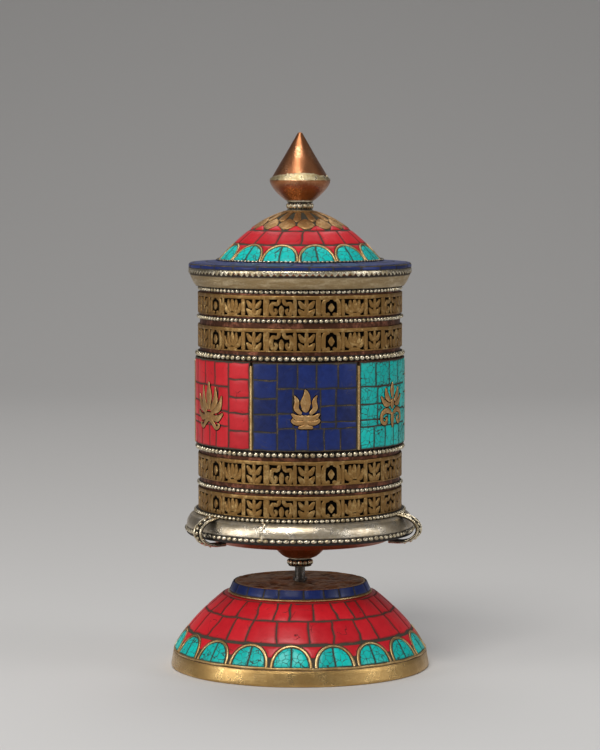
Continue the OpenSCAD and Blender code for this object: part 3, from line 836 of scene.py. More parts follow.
def grid_faces(across: int, along: int, ring: bool = False, loop: bool = False) -> Array:
    """Quads of a grid of points.

    Args:
        across: points in each row.
        along: number of rows.
        ring: whether each row closes on itself.
        loop: whether the last row joins the first.

    Returns:
        Point numbers, four for each quad.
    """
    u = np.arange(across if ring else across - 1)[None, :]
    v = np.arange(along if loop else along - 1)[:, None]
    right, above = (u + 1) % across, (v + 1) % along
    quads = [u + v * across, right + v * across, right + above * across, u + above * across]
    return np.stack(np.broadcast_arrays(*quads), -1).reshape(-1, 4)


def closed_grid(points: Array, recess: Array | float = 0.0, turned: bool = False) -> Part:
    """A grid of points that closes both ways, its faces turned over where that is asked for."""
    faces = grid_faces(points.shape[1], len(points), ring=True, loop=True)
    return {"points": points, "faces": [faces[:, ::-1] if turned else faces], "recess": recess}


def tube_faces(corners: int, rows: int) -> list[Array]:
    """Faces of a tube and of the fans at its ends, whose two middles follow its points.

    Args:
        corners: points in each of its rings.
        rows: number of rings.

    Returns:
        Its quads and its fans.
    """
    near, last = np.arange(corners), (rows - 1) * corners
    far = (near + 1) % corners
    first = np.stack([np.full(corners, rows * corners), far, near], -1)
    final = np.stack([np.full(corners, rows * corners + 1), near + last, far + last], -1)
    return [grid_faces(corners, rows, ring=True), np.concatenate([first, final])]


def repeated(points: Array, faces: Sequence[Array], hollow: Array) -> Part:
    """Equal parts, from the points of each and the faces and painted shade of one.

    Args:
        points: points of every part, part by part.
        faces: one part's faces, by number of corners.
        hollow: how much painted shade each of its points gets, in its hollows.

    Returns:
        What Piece.add takes.
    """
    start = (np.arange(len(points)) * points.shape[1])[:, None, None]
    spread = [(part[None] + start).reshape(-1, part.shape[1]) for part in faces]
    return {"points": points, "faces": spread, "recess": hollow}


class Piece:
    """A mesh in the making: closed parts in millimetres that become one object."""

    def __init__(self, name: str, finish: Finish) -> None:
        """Starts an empty piece of that name and finish.

        Args:
            name: its name.
            finish: what it is made of.
        """
        self.name, self.finish = name, finish
        self.points: list[Array] = []
        self.faces: list[list[list[int]]] = []
        self.tile: list[Array] = []
        self.recess: list[Array] = []
        self.count = 0

    def add(self, points: Array, faces: Sequence[Array], tile: Array | float = 0.0,
            recess: Array | float = 0.0) -> "Piece":
        """Adds a part.

        Args:
            points: its points.
            faces: arrays of point numbers, one for each number of corners.
            tile: a number for each point that tells one stone from another.
            recess: how much painted shade each point gets in its hollows, from 0 to 1.

        Returns:
            The piece.
        """
        flat = points.reshape(-1, 3)
        self.points.append(flat)
        self.faces.extend((array + self.count).tolist() for array in faces)
        self.tile.append(np.broadcast_to(tile, points.shape[:-1]).ravel())
        self.recess.append(np.broadcast_to(recess, points.shape[:-1]).ravel())
        self.count += len(flat)
        return self

    def place(self, slot: str, *nodes: str, body: str | None = None, crease: float = 38.0
              ) -> bpy.types.Object:
        """Makes the object and hangs it on its CAD body.

        Args:
            slot: the record's material slot; not used.
            *nodes: the CAD nodes that it stands for.
            body: its CAD body, where it stands for no node.
            crease: the angle past which an edge stays sharp.

        Returns:
            The object.
        """
        mesh = bpy.data.meshes.new(self.name)
        faces = [face for part in self.faces for face in part]
        mesh.from_pydata(np.concatenate(self.points) * MM, [], faces)
        for name, parts in (("tile", self.tile), ("recess", self.recess)):
            values = mesh.attributes.new(name, "FLOAT", "POINT")
            values.data.foreach_set("value", np.concatenate(parts).astype(np.float32))
        mesh.shade_smooth()
        mesh.set_sharp_from_angle(angle=math.radians(crease))
        mesh.materials.append(self.finish.material())
        made = bpy.data.objects.new(self.name, mesh)
        bpy.context.scene.collection.objects.link(made)
        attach(made, body or body_of(frame["nodes"][nodes[0]])[0])
        if nodes:
            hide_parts(*nodes)
        log.info("%s: %d faces", self.name, len(faces))
        return made


def dress(finish: Finish, *nodes: str) -> None:
    """Gives CAD nodes that keep their own mesh a finish.

    Args:
        finish: what they are made of.
        *nodes: their names.
    """
    for node in nodes:
        mesh = frame["nodes"][node].data
        mesh.materials.clear()
        mesh.materials.append(finish.material())
        log.info("%s: CAD mesh, %s", node, finish.name)


def spin(line: Array, segments: int, wobble: Wobble | None) -> Array:
    """Points of a line of radius and height that is carried round the axis.

    Args:
        line: radius and height of its points.
        segments: steps round the axis.
        wobble: the radius added at an angle and height.

    Returns:
        One row of points for each point of the line.
    """
    angle = steps_round(segments)
    radius, height = (np.repeat(column[:, None], segments, axis=1) for column in line.T)
    return about_axis(angle, radius if wobble is None else radius + wobble(angle, height), height)


def anticlockwise(line: Array) -> Array:
    """A loop of radius and height, turned over where it runs clockwise.

    Args:
        line: the loop's corners.

    Returns:
        The corners in the sense that turns faces outwards.
    """
    after = np.roll(line, -1, axis=0)
    area = (line[:, 0] * after[:, 1] - after[:, 0] * line[:, 1]).sum()
    return line[::-1] if area < 0 else line


def turned_ring(section: Array, segments: int = 288, wobble: Wobble | None = None,
                recess: Callable[[Array], Array] | None = None) -> Part:
    """A closed ring: a closed section carried round the axis.

    The section is a loop of radius and height. A wobble moves its points along
    the radius by an amount that depends on angle and height.

    Args:
        section: the loop's corners, in either sense.
        segments: steps round the axis.
        wobble: the radius added at an angle and height.
        recess: how much painted shade a point of the section gets, from its radius and height.

    Returns:
        What Piece.add takes.
    """
    section = anticlockwise(section)
    hollow = 0.0 if recess is None else recess(section)[:, None]
    return closed_grid(spin(section, segments, wobble), hollow)


def lathe(profile: Array, segments: int = 192, wobble: Wobble | None = None) -> Part:
    """A closed solid of turn whose profile starts and ends on the axis.

    Args:
        profile: radius and height, in either sense, the first and last radius 0.
        segments: steps round the axis.
        wobble: the radius added at an angle and height.

    Returns:
        What Piece.add takes.
    """
    profile = anticlockwise(profile)
    points = spin(profile[1:-1], segments, wobble).reshape(-1, 3)
    poles = np.array([[0, 0, profile[0, 1]], [0, 0, profile[-1, 1]]])
    return {"points": np.concatenate([points, poles]), "faces": tube_faces(segments, len(profile) - 2)}


def skin(line: Array, depth: float) -> Array:
    """A section made of a line and its copy moved inwards by depth.

    Args:
        line: radius and height of its points.
        depth: how thick the section is.

    Returns:
        The section's corners.
    """
    way = np.gradient(line, axis=0)
    way /= np.hypot(way[:, :1], way[:, 1:])
    inner = line - depth * np.stack([way[:, 1], -way[:, 0]], -1)
    return np.concatenate([line, inner[::-1]])


# ------------------------------------------------------------------- stones

# Shares of a stone's width at which its grid has lines: close at its edges
STONE_GRID = np.array([0.0, 0.07, 0.32, 0.68, 0.93, 1.0])


def rim_order(side: int) -> Array:
    """Point numbers round the border of a square grid, anticlockwise.

    Args:
        side: points on each side of the grid.

    Returns:
        The numbers, each corner once.
    """
    low = np.arange(side - 1)
    return np.concatenate([
        low, side - 1 + low * side, side * side - 1 - low, (side - 1 - low) * side,
    ])


def lay_stones(surface: Turned, plan: Array, tone: Array, depth: float = 0.9, round_off: float = 0.13,
               uneven: float = 0.05, seed: int = 1) -> Part:
    """Closed stones with rounded edges, set into a surface.

    Each stone's front is its plan on the surface, lowered at the border by
    round_off and tilted a little; its sides go down by depth and meet in a
    point behind.

    Args:
        surface: what they lie on.
        plan: angle and length of each stone's grid points.
        tone: a number from 0 to 1 for each stone.
        depth: how deep they reach.
        round_off: how far their edges are taken down.
        uneven: how much they tilt.
        seed: picks the tilts.

    Returns:
        What Piece.add takes.
    """
    rng = np.random.default_rng(seed)
    count, side = plan.shape[0], plan.shape[1]
    u, v = np.meshgrid(STONE_GRID, STONE_GRID)
    border = (u == 0) | (u == 1) | (v == 0) | (v == 1)
    tilt = rng.uniform(-uneven, uneven, (2, count, 1, 1))
    lift = (u - 0.5) * tilt[0] + (v - 0.5) * tilt[1] - round_off * border
    front = surface.at(plan[..., 0], plan[..., 1], lift).reshape(count, side * side, 3)
    rim = rim_order(side)
    around = plan.reshape(count, side * side, 2)[:, rim]
    skirt = surface.at(around[..., 0], around[..., 1], np.full(around.shape[:2], -depth))
    points = np.concatenate([front, skirt, skirt.mean(1, keepdims=True)], axis=1)
    near, far = np.arange(len(rim)), (np.arange(len(rim)) + 1) % len(rim)
    low = side * side
    sides = np.stack([low + near, low + far, rim[far], rim[near]], -1)
    back = np.stack([np.full(len(rim), low + len(rim)), low + far, low + near], -1)
    # painted shade: full on the sides and behind, most of it on the front's border
    hollow = np.ones(points.shape[1])
    hollow[:low] = np.where(border.ravel(), 0.75, 0.0)
    quads = np.concatenate([grid_faces(side, side), sides])
    return {**repeated(points, [quads, back], hollow), "tile": tone[:, None]}


def four_sided(corners: Array, gap: float, surface: Turned) -> Array:
    """Plans of four-sided stones.

    Points are mixed from the four corners by their shares, and each share is
    squeezed so that half a joint stays free on every side.

    Args:
        corners: angle and length of each stone's corners, anticlockwise.
        gap: width of the joints.
        surface: what they lie on.

    Returns:
        The plans.
    """
    middle = surface.radius_at(corners[:, :, 1].mean(1))
    across = np.abs(corners[:, 1, 0] - corners[:, 0, 0] + corners[:, 2, 0] - corners[:, 3, 0]) / 2
    wide = np.radians(across) * middle
    tall = np.abs(corners[:, 2, 1] - corners[:, 1, 1] + corners[:, 3, 1] - corners[:, 0, 1]) / 2
    u, v = np.meshgrid(STONE_GRID, STONE_GRID)
    edge_u = np.minimum(gap / 2 / np.maximum(wide, 0.4), 0.4)[:, None, None]
    edge_v = np.minimum(gap / 2 / np.maximum(tall, 0.4), 0.4)[:, None, None]
    u, v = (edge_u + (1 - 2 * edge_u) * u)[..., None], (edge_v + (1 - 2 * edge_v) * v)[..., None]
    stray = np.random.default_rng(len(corners)).uniform(0.0, 0.16, (2, *corners.shape[:2]))
    inwards = np.array([[1, 1], [-1, 1], [-1, -1], [1, -1]])
    shift = np.stack([np.degrees(stray[0] / middle[:, None]), stray[1]], -1) * inwards
    c = (corners + shift)[:, None, None]
    low, high = c[..., 0, :] * (1 - u) + c[..., 1, :] * u, c[..., 3, :] * (1 - u) + c[..., 2, :] * u
    return low * (1 - v) + high * v


def course(count: int, low: float, high: float, rng: np.random.Generator, turn: float = 0.0,
           loose: float = 0.14, slant: float = 0.06) -> Array:
    """Corners of one course of stones all the way round.

    Args:
        count: number of stones.
        low: length at its lower edge.
        high: length at its upper edge.
        rng: draws the joints.
        turn: angle of the first joint.
        loose: how far joints stray, as a share of a stone.
        slant: how much they lean, as a share of a stone.

    Returns:
        Angle and length of four corners for each stone.
    """
    pitch = TURN / count
    joints = turn + pitch * (np.arange(count) + rng.uniform(-loose, loose, count))
    lean = pitch * rng.uniform(-slant, slant, count)
    below, above = joints - lean, joints + lean
    after_below, after_above = np.roll(below, -1), np.roll(above, -1)
    after_below[-1] += TURN
    after_above[-1] += TURN
    lows, highs = np.full(count, low), np.full(count, high)
    sides = [(below, lows), (after_below, lows), (after_above, highs), (above, highs)]
    return np.stack([np.stack(side, -1) for side in sides], axis=1)


def by_hand(plan: Array, surface: Turned, seed: int, reach: float = 0.22) -> Array:
    """Plans pushed about together, so that joints stay even but waver.

    Args:
        plan: angle and length of the stones' points.
        surface: what they lie on.
        seed: picks the wavering.
        reach: how far points move.

    Returns:
        The moved plans.
    """
    angle, length = plan[..., 0], plan[..., 1]
    sideways = Waves(seed, 9, 5, 37)(angle, length) * reach
    upwards = Waves(seed + 1, 9, 7, 41)(angle, length) * reach
    beside = np.degrees(sideways / np.maximum(surface.radius_at(length), 1.0))
    return np.stack([angle + beside, length + upwards], -1)


def half_lobes(turns: Array, half_width: float, tall: float, foot: float, joint: float,
               surface: Turned) -> Array:
    """Plans of the two quarter ellipses that fill each lobe.

    A square of shares (p, q) becomes a quarter ellipse: p times the root of
    1 - q*q/2 beside the middle line, and q times the root of 1 - p*p/2 upwards.

    Args:
        turns: angles of the lobes' middle lines.
        half_width: half the lobe's width.
        tall: its height.
        foot: length at its foot.
        joint: half the joint on its middle line.
        surface: what they lie on.

    Returns:
        Plans of the right halves, then of the left ones.
    """
    p, q = np.meshgrid(STONE_GRID, STONE_GRID)
    beside = joint + (half_width - joint) * p * np.sqrt(1 - q * q / 2)
    above = foot + tall * q * np.sqrt(1 - p * p / 2)
    right = np.stack([beside, above], -1)
    left = np.stack([-beside, above], -1)[:, ::-1]
    return np.concatenate([surface.plans(turns, right), surface.plans(turns, left)])


def spandrels(turns: Array, pitch: float, half_width: float, tall: float, foot: float,
              gap: float, surface: Turned) -> Array:
    """Plans of the small stones between neighbouring lobes.

    Each row runs between the two lobes' ellipses, from where they part to
    just under their tops.

    Args:
        turns: angles midway between lobes.
        pitch: angle from lobe to lobe.
        half_width: half a lobe's width, wire included.
        tall: a lobe's height, wire included.
        foot: length at the lobes' feet.
        gap: joint left on every side.
        surface: what they lie on.

    Returns:
        The plans.
    """
    wide, high = half_width + gap, tall + gap
    share = 0.42 + 0.48 * STONE_GRID[:, None]
    length = foot + share * high
    half_pitch = np.radians(pitch / 2) * surface.radius_at(length)
    room = half_pitch - wide * np.sqrt(1 - share**2)
    beside = np.maximum(room, 0.08) * (2 * STONE_GRID[None, :] - 1)
    return surface.plans(turns, np.stack([beside, np.broadcast_to(length, beside.shape)], -1))


# -------------------------------------------------------- ribbons and beads

# Section of a metal ribbon: shares of its width, and whether each point is at
# the foot (0), on the shoulder (1), on the face (2) or on the crown (3)
RIBBON_SIDE = np.array([-0.5, -0.5, -0.38, -0.15, 0.15, 0.38, 0.5, 0.5])
RIBBON_PART = np.array([0, 1, 2, 3, 3, 2, 1, 0])
# Painted shade at each of those points: full at the foot, some on the shoulder
RIBBON_HOLLOW = np.array([1.0, 0.3, 0.0, 0.0, 0.0, 0.0, 0.3, 1.0])


@dataclass(frozen=True)
class Stroke:
    """One ribbon of a drawing: points it runs through and its widths there."""

    points: tuple[tuple[float, float], ...]
    widths: tuple[float, ...]

    def mirrored(self) -> "Stroke":
        """The stroke on the other side of the middle line."""
        return Stroke(tuple((-x, y) for x, y in self.points), self.widths)


def both(*strokes: Stroke) -> list[Stroke]:
    """Strokes together with their mirror images."""
    return [*strokes, *(stroke.mirrored() for stroke in strokes)]


def smooth_path(points: Array, widths: Array, samples: int) -> tuple[Array, Array]:
    """A Catmull-Rom curve with rounded ends.

    Samples crowd towards both ends, where the width shrinks as a circle's does.

    Args:
        points: the points that it runs through.
        widths: its widths at them.
        samples: number of points wanted.

    Returns:
        The curve's points and widths.
    """
    knots = np.concatenate([2 * points[:1] - points[1:2], points, 2 * points[-1:] - points[-2:-1]])
    t = (1 - np.cos(np.linspace(0, np.pi, samples))) / 2 * (len(points) - 1)
    start = np.minimum(t.astype(int), len(points) - 2)
    f = (t - start)[:, None]
    a, b, c, d = (knots[start + i] for i in range(4))
    curve = 0.5 * (2 * b + (c - a) * f + (2 * a - 5 * b + 4 * c - d) * f**2
                   + (3 * b - a - 3 * c + d) * f**3)
    wide = np.interp(t, np.arange(len(points)), widths)
    step = np.concatenate([[0.0], np.cumsum(np.hypot(*np.diff(curve, axis=0).T))])
    ends = np.minimum(step, step[-1] - step) / np.maximum(wide / 2, 1e-6)
    return curve, wide * np.sqrt(np.clip(1 - (1 - np.minimum(ends, 1)) ** 2, 0.02, 1))


def ribbons(surface: Turned, turns: Array, paths: Array, widths: Array, face: Array | float,
            foot: float, shoulder: float = 0.1, crown: float = 0.04) -> Part:
    """Closed metal ribbons on a surface.

    A flat-topped section with low shoulders is carried along each path, square
    to it; both ends are closed by a fan.

    Args:
        surface: what they lie on.
        turns: angle of each drawing's middle line.
        paths: points beside that line and along the profile.
        widths: width at each of them.
        face: lift of the ribbons' faces.
        foot: lift of their feet.
        shoulder: how far the shoulders lie under the face.
        crown: how far the middle rises over it.

    Returns:
        What Piece.add takes.
    """
    count, samples, corners = len(turns), paths.shape[1], len(RIBBON_SIDE)
    along = np.gradient(paths, axis=1)
    along /= np.maximum(np.linalg.norm(along, axis=-1, keepdims=True), 1e-9)
    across = np.stack([along[..., 1], -along[..., 0]], -1)
    flat = paths[:, :, None] + RIBBON_SIDE[:, None] * widths[..., None, None] * across[:, :, None]
    levels = np.broadcast_to(np.asarray(face, float), (count,))[:, None]
    steps = np.array([0.0, -shoulder, 0.0, crown])[RIBBON_PART]
    lift = np.where(RIBBON_PART == 0, foot, levels + steps)
    angle, length = surface.wrap(np.asarray(turns)[:, None, None], flat)
    body = surface.at(angle, length, lift[:, None, :])
    ends = np.stack([body[:, 0].mean(1), body[:, -1].mean(1)], axis=1)
    points = np.concatenate([body.reshape(count, -1, 3), ends], axis=1)
    hollow = np.concatenate([np.tile(RIBBON_HOLLOW, samples), [0.5, 0.5]])
    return repeated(points, tube_faces(corners, samples), hollow)


def draw(surface: Turned, placed: Sequence[tuple[float, float, Stroke]], face: float, foot: float,
         grow: float = 0.0, samples: int = 22, spread: float = 0.03, **shape: float
         ) -> Part:
    """Ribbons for strokes that are set round a surface.

    Args:
        surface: what they lie on.
        placed: for each stroke, its middle line's angle, its origin's length,
            and the stroke.
        face: lift of their faces.
        foot: lift of their feet.
        grow: what is added to their widths.
        samples: points along each.
        spread: how far neighbouring faces differ in lift, so that none coincide.
        **shape: shoulder and crown, as ribbons takes them.

    Returns:
        What Piece.add takes.
    """
    paths, widths = [], []
    for _, origin, stroke in placed:
        path, wide = smooth_path(np.array(stroke.points, float), np.array(stroke.widths, float), samples)
        paths.append(path + [0.0, origin])
        widths.append(wide + grow)
    turns = np.array([turn for turn, _, _ in placed])
    faces = face + spread * ((np.arange(len(placed)) * 5) % 7) / 7
    return ribbons(surface, turns, np.array(paths), np.array(widths), faces, foot, **shape)


def hoop(surface: Turned, length: float, width: float, face: float, foot: float,
         segments: int = 288, wobble: Waves | None = None) -> Part:
    """A ribbon that goes all the way round at one length of the surface.

    Args:
        surface: what it lies on.
        length: where its middle lies.
        width: its width.
        face: lift of its face.
        foot: lift of its feet.
        segments: steps round the axis.
        wobble: waves that move it up and down.

    Returns:
        What Piece.add takes.
    """
    angle = steps_round(segments)
    along = length + RIBBON_SIDE[::-1, None] * width
    if wobble is not None:
        along = along + 0.12 * wobble(angle, np.zeros((1, 1)))
    steps = np.array([0.0, -0.1, 0.0, 0.04])[RIBBON_PART]
    lift = np.where(RIBBON_PART == 0, foot, face + steps)[:, None]
    return closed_grid(surface.at(angle, along, lift), RIBBON_HOLLOW[:, None], turned=True)


def unit_bead(around: int = 10, rings: int = 4) -> tuple[Array, list[Array]]:
    """Points and faces of a ball of radius 1 with closed poles.

    Args:
        around: points in each ring.
        rings: number of rings.

    Returns:
        The points and the faces.
    """
    tilt = np.radians(np.linspace(-54, 54, rings))[:, None]
    turn = np.arange(around) * 2 * np.pi / around
    body = np.stack([
        np.cos(tilt) * np.cos(turn), np.cos(tilt) * np.sin(turn), np.sin(tilt) + 0 * turn,
    ], -1).reshape(-1, 3)
    return np.concatenate([body, [[0, 0, -1.0], [0, 0, 1.0]]]), tube_faces(around, rings)


def beads(centres: Array, axes: Array) -> Part:
    """Beads at given places.

    Args:
        centres: their middles.
        axes: for each bead three half axes: along the wire, upwards, outwards.

    Returns:
        What Piece.add takes. Painted shade darkens the side turned inwards and the flanks, between the beads.
    """
    ball, faces = unit_bead()
    points = centres[:, None] + np.einsum("pk,nkc->npc", ball, axes)
    return repeated(points, faces, np.clip(0.92 - 1.45 * ball[:, 2], 0, 1))


def bead_row(surface: Turned, count: int, length: float, size: tuple[float, float, float],
             lift: float, turn: float = 0.0, seed: int = 3) -> Part:
    """Beads side by side round a surface, each a little out of line.

    Args:
        surface: what they lie on.
        count: their number.
        length: where their middles lie.
        size: half axes along the wire, upwards and outwards.
        lift: their middles' lift.
        turn: angle of the first.
        seed: picks the irregularity.

    Returns:
        What Piece.add takes.
    """
    rng = np.random.default_rng(seed)
    stray = rng.uniform(-0.035, 0.035, (3, count))
    angle = turn + (np.arange(count) + stray[0]) * TURN / count
    centre = surface.at(angle, length + stray[1], lift + stray[2] * 0.6)
    right, up, out = surface.axes(angle, length, lift)
    swell = rng.uniform(0.94, 1.0, (count, 1))
    axes = np.stack([right * size[0], up * size[1] * swell, out * size[2] * swell], axis=1)
    return beads(centre, axes)


# --------------------------------------------------------------------- base


@dataclass
class LobeRow:
    """A row of stone lobes with brass wires along the foot of a slope."""

    surface: Turned
    count: int
    turn: float  # angle of the first lobe's middle line
    half_width: float  # of a lobe, wire included
    foot: float  # length at their feet
    tall: float  # height of a lobe along the slope, wire included
    wire: float = 0.7
    rim_gap: float = 0.32  # filler between wire and stone
    joint: float = 0.26  # half the joint that splits each lobe
    seed: int = 5

    @property
    def pitch(self) -> float:
        """Angle from lobe to lobe."""
        return TURN / self.count

    @property
    def turns(self) -> Array:
        """Angles of the lobes' middle lines."""
        return self.turn + np.arange(self.count) * self.pitch

    def stones(self) -> Part:
        """The turquoise halves, just inside the wires."""
        inset = self.wire + self.rim_gap
        plan = half_lobes(
            self.turns, self.half_width - inset, self.tall - inset, self.foot + 0.2, self.joint,
            self.surface,
        )
        rng = np.random.default_rng(self.seed)
        plan = by_hand(plan, self.surface, self.seed, 0.12)
        return lay_stones(self.surface, plan, rng.uniform(0, 1, len(plan)), seed=self.seed)

    def between(self) -> Part:
        """The small coral stones between the lobes."""
        plan = spandrels(
            self.turns + self.pitch / 2, self.pitch, self.half_width, self.tall, self.foot, 0.25,
            self.surface,
        )
        rng = np.random.default_rng(self.seed + 1)
        return lay_stones(self.surface, plan, rng.uniform(0, 1, len(plan)), seed=self.seed)

    def wires(self) -> Part:
        """A wire over each lobe: half an ellipse that stands on its foot."""
        samples = 34
        way = np.linspace(0, np.pi, samples)
        beside = (self.half_width - self.wire / 2) * np.cos(way)
        above = self.foot + (self.tall - self.wire / 2) * np.sin(way)
        path = np.repeat(np.stack([beside, above], -1)[None], self.count, axis=0)
        widths = np.full((self.count, samples), self.wire)
        return ribbons(self.surface, self.turns, path, widths, 0.12, -0.6, shoulder=0.14, crown=0.06)


@dataclass
class Base:
    """The stand: a brass foot, a stone-set bell, a lapis collar and a top plate."""

    foot: Span = measured("foot_ring")
    foot_wire: Span = measured("foot_wire")
    slope: Span = measured("base_coral_mosaic")
    collar_wire: Span = measured("base_collar_wire")
    collar: Span = measured("base_lapis_collar")
    plate: Span = measured("base_top_plate")
    foot_taper: float = 0.9
    slope_top_r: float = 28.7
    bulge: float = 1.9
    stone_t: float = 2.2
    collar_taper: float = 1.5
    plate_bore: float = 1.95
    plate_dents: int = 150
    lobes: int = 18
    lobe_turn: float = -4.0
    lobe_top: float = 7.5  # height of the lobes over the slope's foot
    middle_joint: float = 15.1  # height of the joint between the two courses

    def __post_init__(self) -> None:
        """Works out the slope: a cone that bulges by a parabola."""
        share = np.linspace(0, 1, 240)
        foot_r = self.slope.radius
        radius = foot_r + (self.slope_top_r - foot_r) * share + self.bulge * 4 * share * (1 - share)
        height = self.slope.low + (self.slope.high - self.slope.low) * share
        self.bell = Turned(radius, height)

    def level(self, over_foot: float) -> float:
        """Length along the slope at a height over its foot."""
        return self.bell.at_level(self.slope.low + over_foot)

    def build(self) -> None:
        """Builds every piece of the base."""
        self.build_foot()
        self.build_slope()
        self.build_collar()
        self.build_plate()
        dress(COPPER, "base_shell", "base_cover")
        dress(PLASTER, "base_weight")

    def build_foot(self) -> None:
        """The foot ring, a little uneven, and the wire on it."""
        r, top_r, top = self.foot.radius, self.foot.radius - self.foot_taper, self.foot.high
        section = np.array([
            [r - 3.2, 0.0], [r - 0.9, 0.0], [r - 0.25, 0.12], [r, 0.5], [r - 0.02, 0.95],
            [r - 0.3, top * 0.4], [r - 0.6, top * 0.7], [top_r + 0.02, top - 0.5],
            [top_r - 0.16, top - 0.14], [top_r - 0.5, top], [r - 3.2, top],
        ])
        waves = Waves(11, 9, 2, 19)
        # the ring's recess values paint shade towards its top edge
        ring = turned_ring(
            section, 360, lambda angle, height: 0.1 * (np.minimum(waves(angle, height), 0.9) - 0.9),
            lambda points: np.clip((points[:, 1] - top + 0.9) / 1.1, 0, 0.8),
        )
        Piece("foot_ring_turned", FOOT_BRASS).add(**ring).place("brass", "foot_ring")
        wire = self.foot_wire
        wall = Turned.wall(wire.radius - 0.3, wire.low - 0.2, wire.high + 0.4)
        hooped = hoop(wall, 0.62, 0.8, 0.42, -1.2, 360, Waves(12))
        Piece("foot_wire_drawn", BRASS).add(**hooped).place("brass", "foot_wire")

    def build_slope(self) -> None:
        """Filler, two coral courses, and the lobes with their wires."""
        line = self.bell.line(np.linspace(0, self.bell.end, 60), -0.22)
        filler = Piece("base_filler", DARK_GROUT).add(**turned_ring(skin(line, self.stone_t - 0.6), 288))
        filler.place("plaster", body="stand")
        foot_r = self.slope.radius
        row = LobeRow(
            self.bell, self.lobes, self.lobe_turn, foot_r * math.sin(math.pi / self.lobes) - 0.5,
            0.12, self.level(self.lobe_top), wire=0.9, rim_gap=0.5,
        )
        rng = np.random.default_rng(21)
        start, joint = self.level(self.lobe_top + 0.3), self.level(self.middle_joint)
        lower = course(25, start, joint, rng, 3.0, 0.2, 0.09)
        upper = course(28, joint, self.bell.end - 0.05, rng, 8.0, 0.2, 0.09)
        corners = np.concatenate([lower, upper])
        plan = by_hand(four_sided(corners, 0.4, self.bell), self.bell, 31, 0.3)
        stones = lay_stones(self.bell, plan, rng.uniform(0, 1, len(plan)), seed=4)
        top_r, top = self.slope_top_r, self.slope.high
        ledge = np.array([
            [self.collar_wire.radius - 0.4, top - 0.8], [top_r - 0.25, top - 0.8], [top_r - 0.12, top - 0.25],
            [top_r - 0.35, top - 0.06], [self.collar_wire.radius - 0.4, top - 0.01],
        ])
        coral = Piece("base_coral_stones", CORAL).add(**stones).add(**row.between())
        coral.add(**turned_ring(ledge, 288))
        coral.place("coral_stone", "base_coral_mosaic")
        lobes = Piece("base_lobe_stones", TURQUOISE).add(**row.stones())
        lobes.place("turquoise_stone", "base_turquoise_lobes")
        Piece("base_lobe_arcs", BRASS).add(**row.wires()).place("brass", "base_lobe_wires")

    def build_collar(self) -> None:
        """The collar's wire, filler and lapis stones."""
        wire, collar = self.collar_wire, self.collar
        r, low, high = wire.radius, wire.low, wire.high
        bend = np.radians(np.linspace(-80, 80, 9))
        half = (high - low) / 2
        bow = np.stack([r - half + half * np.cos(bend), (low + high) / 2 + half * np.sin(bend)], -1)
        section = np.concatenate([[[r - 3.4, low]], bow, [[r - 3.4, high]]])
        waves = Waves(14)
        ring = turned_ring(section, 288, lambda angle, height: -0.05 * (1 + waves(angle, height)))
        Piece("collar_wire_drawn", BRASS).add(**ring).place("brass", "base_collar_wire")
        foot_r, top_r, rim_r = collar.radius, collar.radius - self.collar_taper, self.plate.radius
        surface = Turned(
            np.array([foot_r, top_r + 0.12, top_r - 0.12, rim_r + 0.1]),
            np.array([collar.low, collar.high - 0.35, collar.high - 0.08, collar.high]),
        )
        line = surface.line(np.linspace(0, surface.end, 14), -0.2)
        filler = turned_ring(np.concatenate([line, [[rim_r - 0.4, collar.high - 1.2],
                                                     [foot_r - 2.6, collar.low]]]), 240)
        Piece("collar_filler", GOLD_GROUT).add(**filler).place("plaster", body="stand")
        rng = np.random.default_rng(23)
        plan = four_sided(course(21, 0.12, surface.end - 0.1, rng, 2.0, 0.16, 0.03), 0.3, surface)
        plan = by_hand(plan, surface, 33, 0.1)
        stones = lay_stones(surface, plan, rng.uniform(0, 1, len(plan)), depth=0.7, uneven=0.02)
        collar_stones = Piece("collar_stones", LAPIS).add(**stones)
        collar_stones.place("lapis_stone", "base_lapis_collar")

    def build_plate(self) -> None:
        """The hammered top plate: rings of points whose height is beaten in."""
        rim_r, top = self.plate.radius, self.plate.high
        radius = np.concatenate([np.linspace(self.plate_bore, rim_r - 1.0, 44), [rim_r - 0.62]])[:, None]
        angle = steps_round(240)
        east, north = radius * np.sin(np.radians(angle)), radius * np.cos(np.radians(angle))
        dents = np.zeros_like(east)
        rng = np.random.default_rng(24)
        for x, y in rng.uniform(-rim_r, rim_r, (self.plate_dents, 2)):
            dents -= 0.34 * np.exp(-((east - x) ** 2 + (north - y) ** 2) / rng.uniform(1.6, 5.0))
        creases = np.abs(Waves(25, 8, 2, 9)(angle, radius * 0.8))
        dents = np.maximum(dents - 0.22 * np.exp(-((creases / 0.09) ** 2)), -0.75)
        dents *= np.clip((rim_r - 0.5 - radius) / 1.2, 0, 1)
        surface = np.stack([east, -north, top - 0.22 + dents * 1.15], -1)
        under = surface[::-1] * [1, 1, 0] + [0, 0, self.plate.low]
        # painted shade in the dents and over the whole underside
        hollow = np.clip(-np.concatenate([dents, 0 * dents - 1]) * 0.9 - 0.05, 0, 1)
        beaten = closed_grid(np.concatenate([surface, under]), hollow, turned=True)
        plate = Piece("top_plate_beaten", PLATE_COPPER).add(**beaten)
        plate.place("dark_copper", "base_top_plate", crease=60.0)
        lip = turned_ring(np.array([
            [rim_r - 0.62, self.plate.low + 0.1], [rim_r - 0.02, self.plate.low + 0.1],
            [rim_r, top - 0.2], [rim_r - 0.15, top - 0.03], [rim_r - 0.45, top - 0.04],
            [rim_r - 0.6, top - 0.2],
        ]), 240)
        Piece("top_plate_lip", BRASS).add(**lip).place("brass", body="stand")


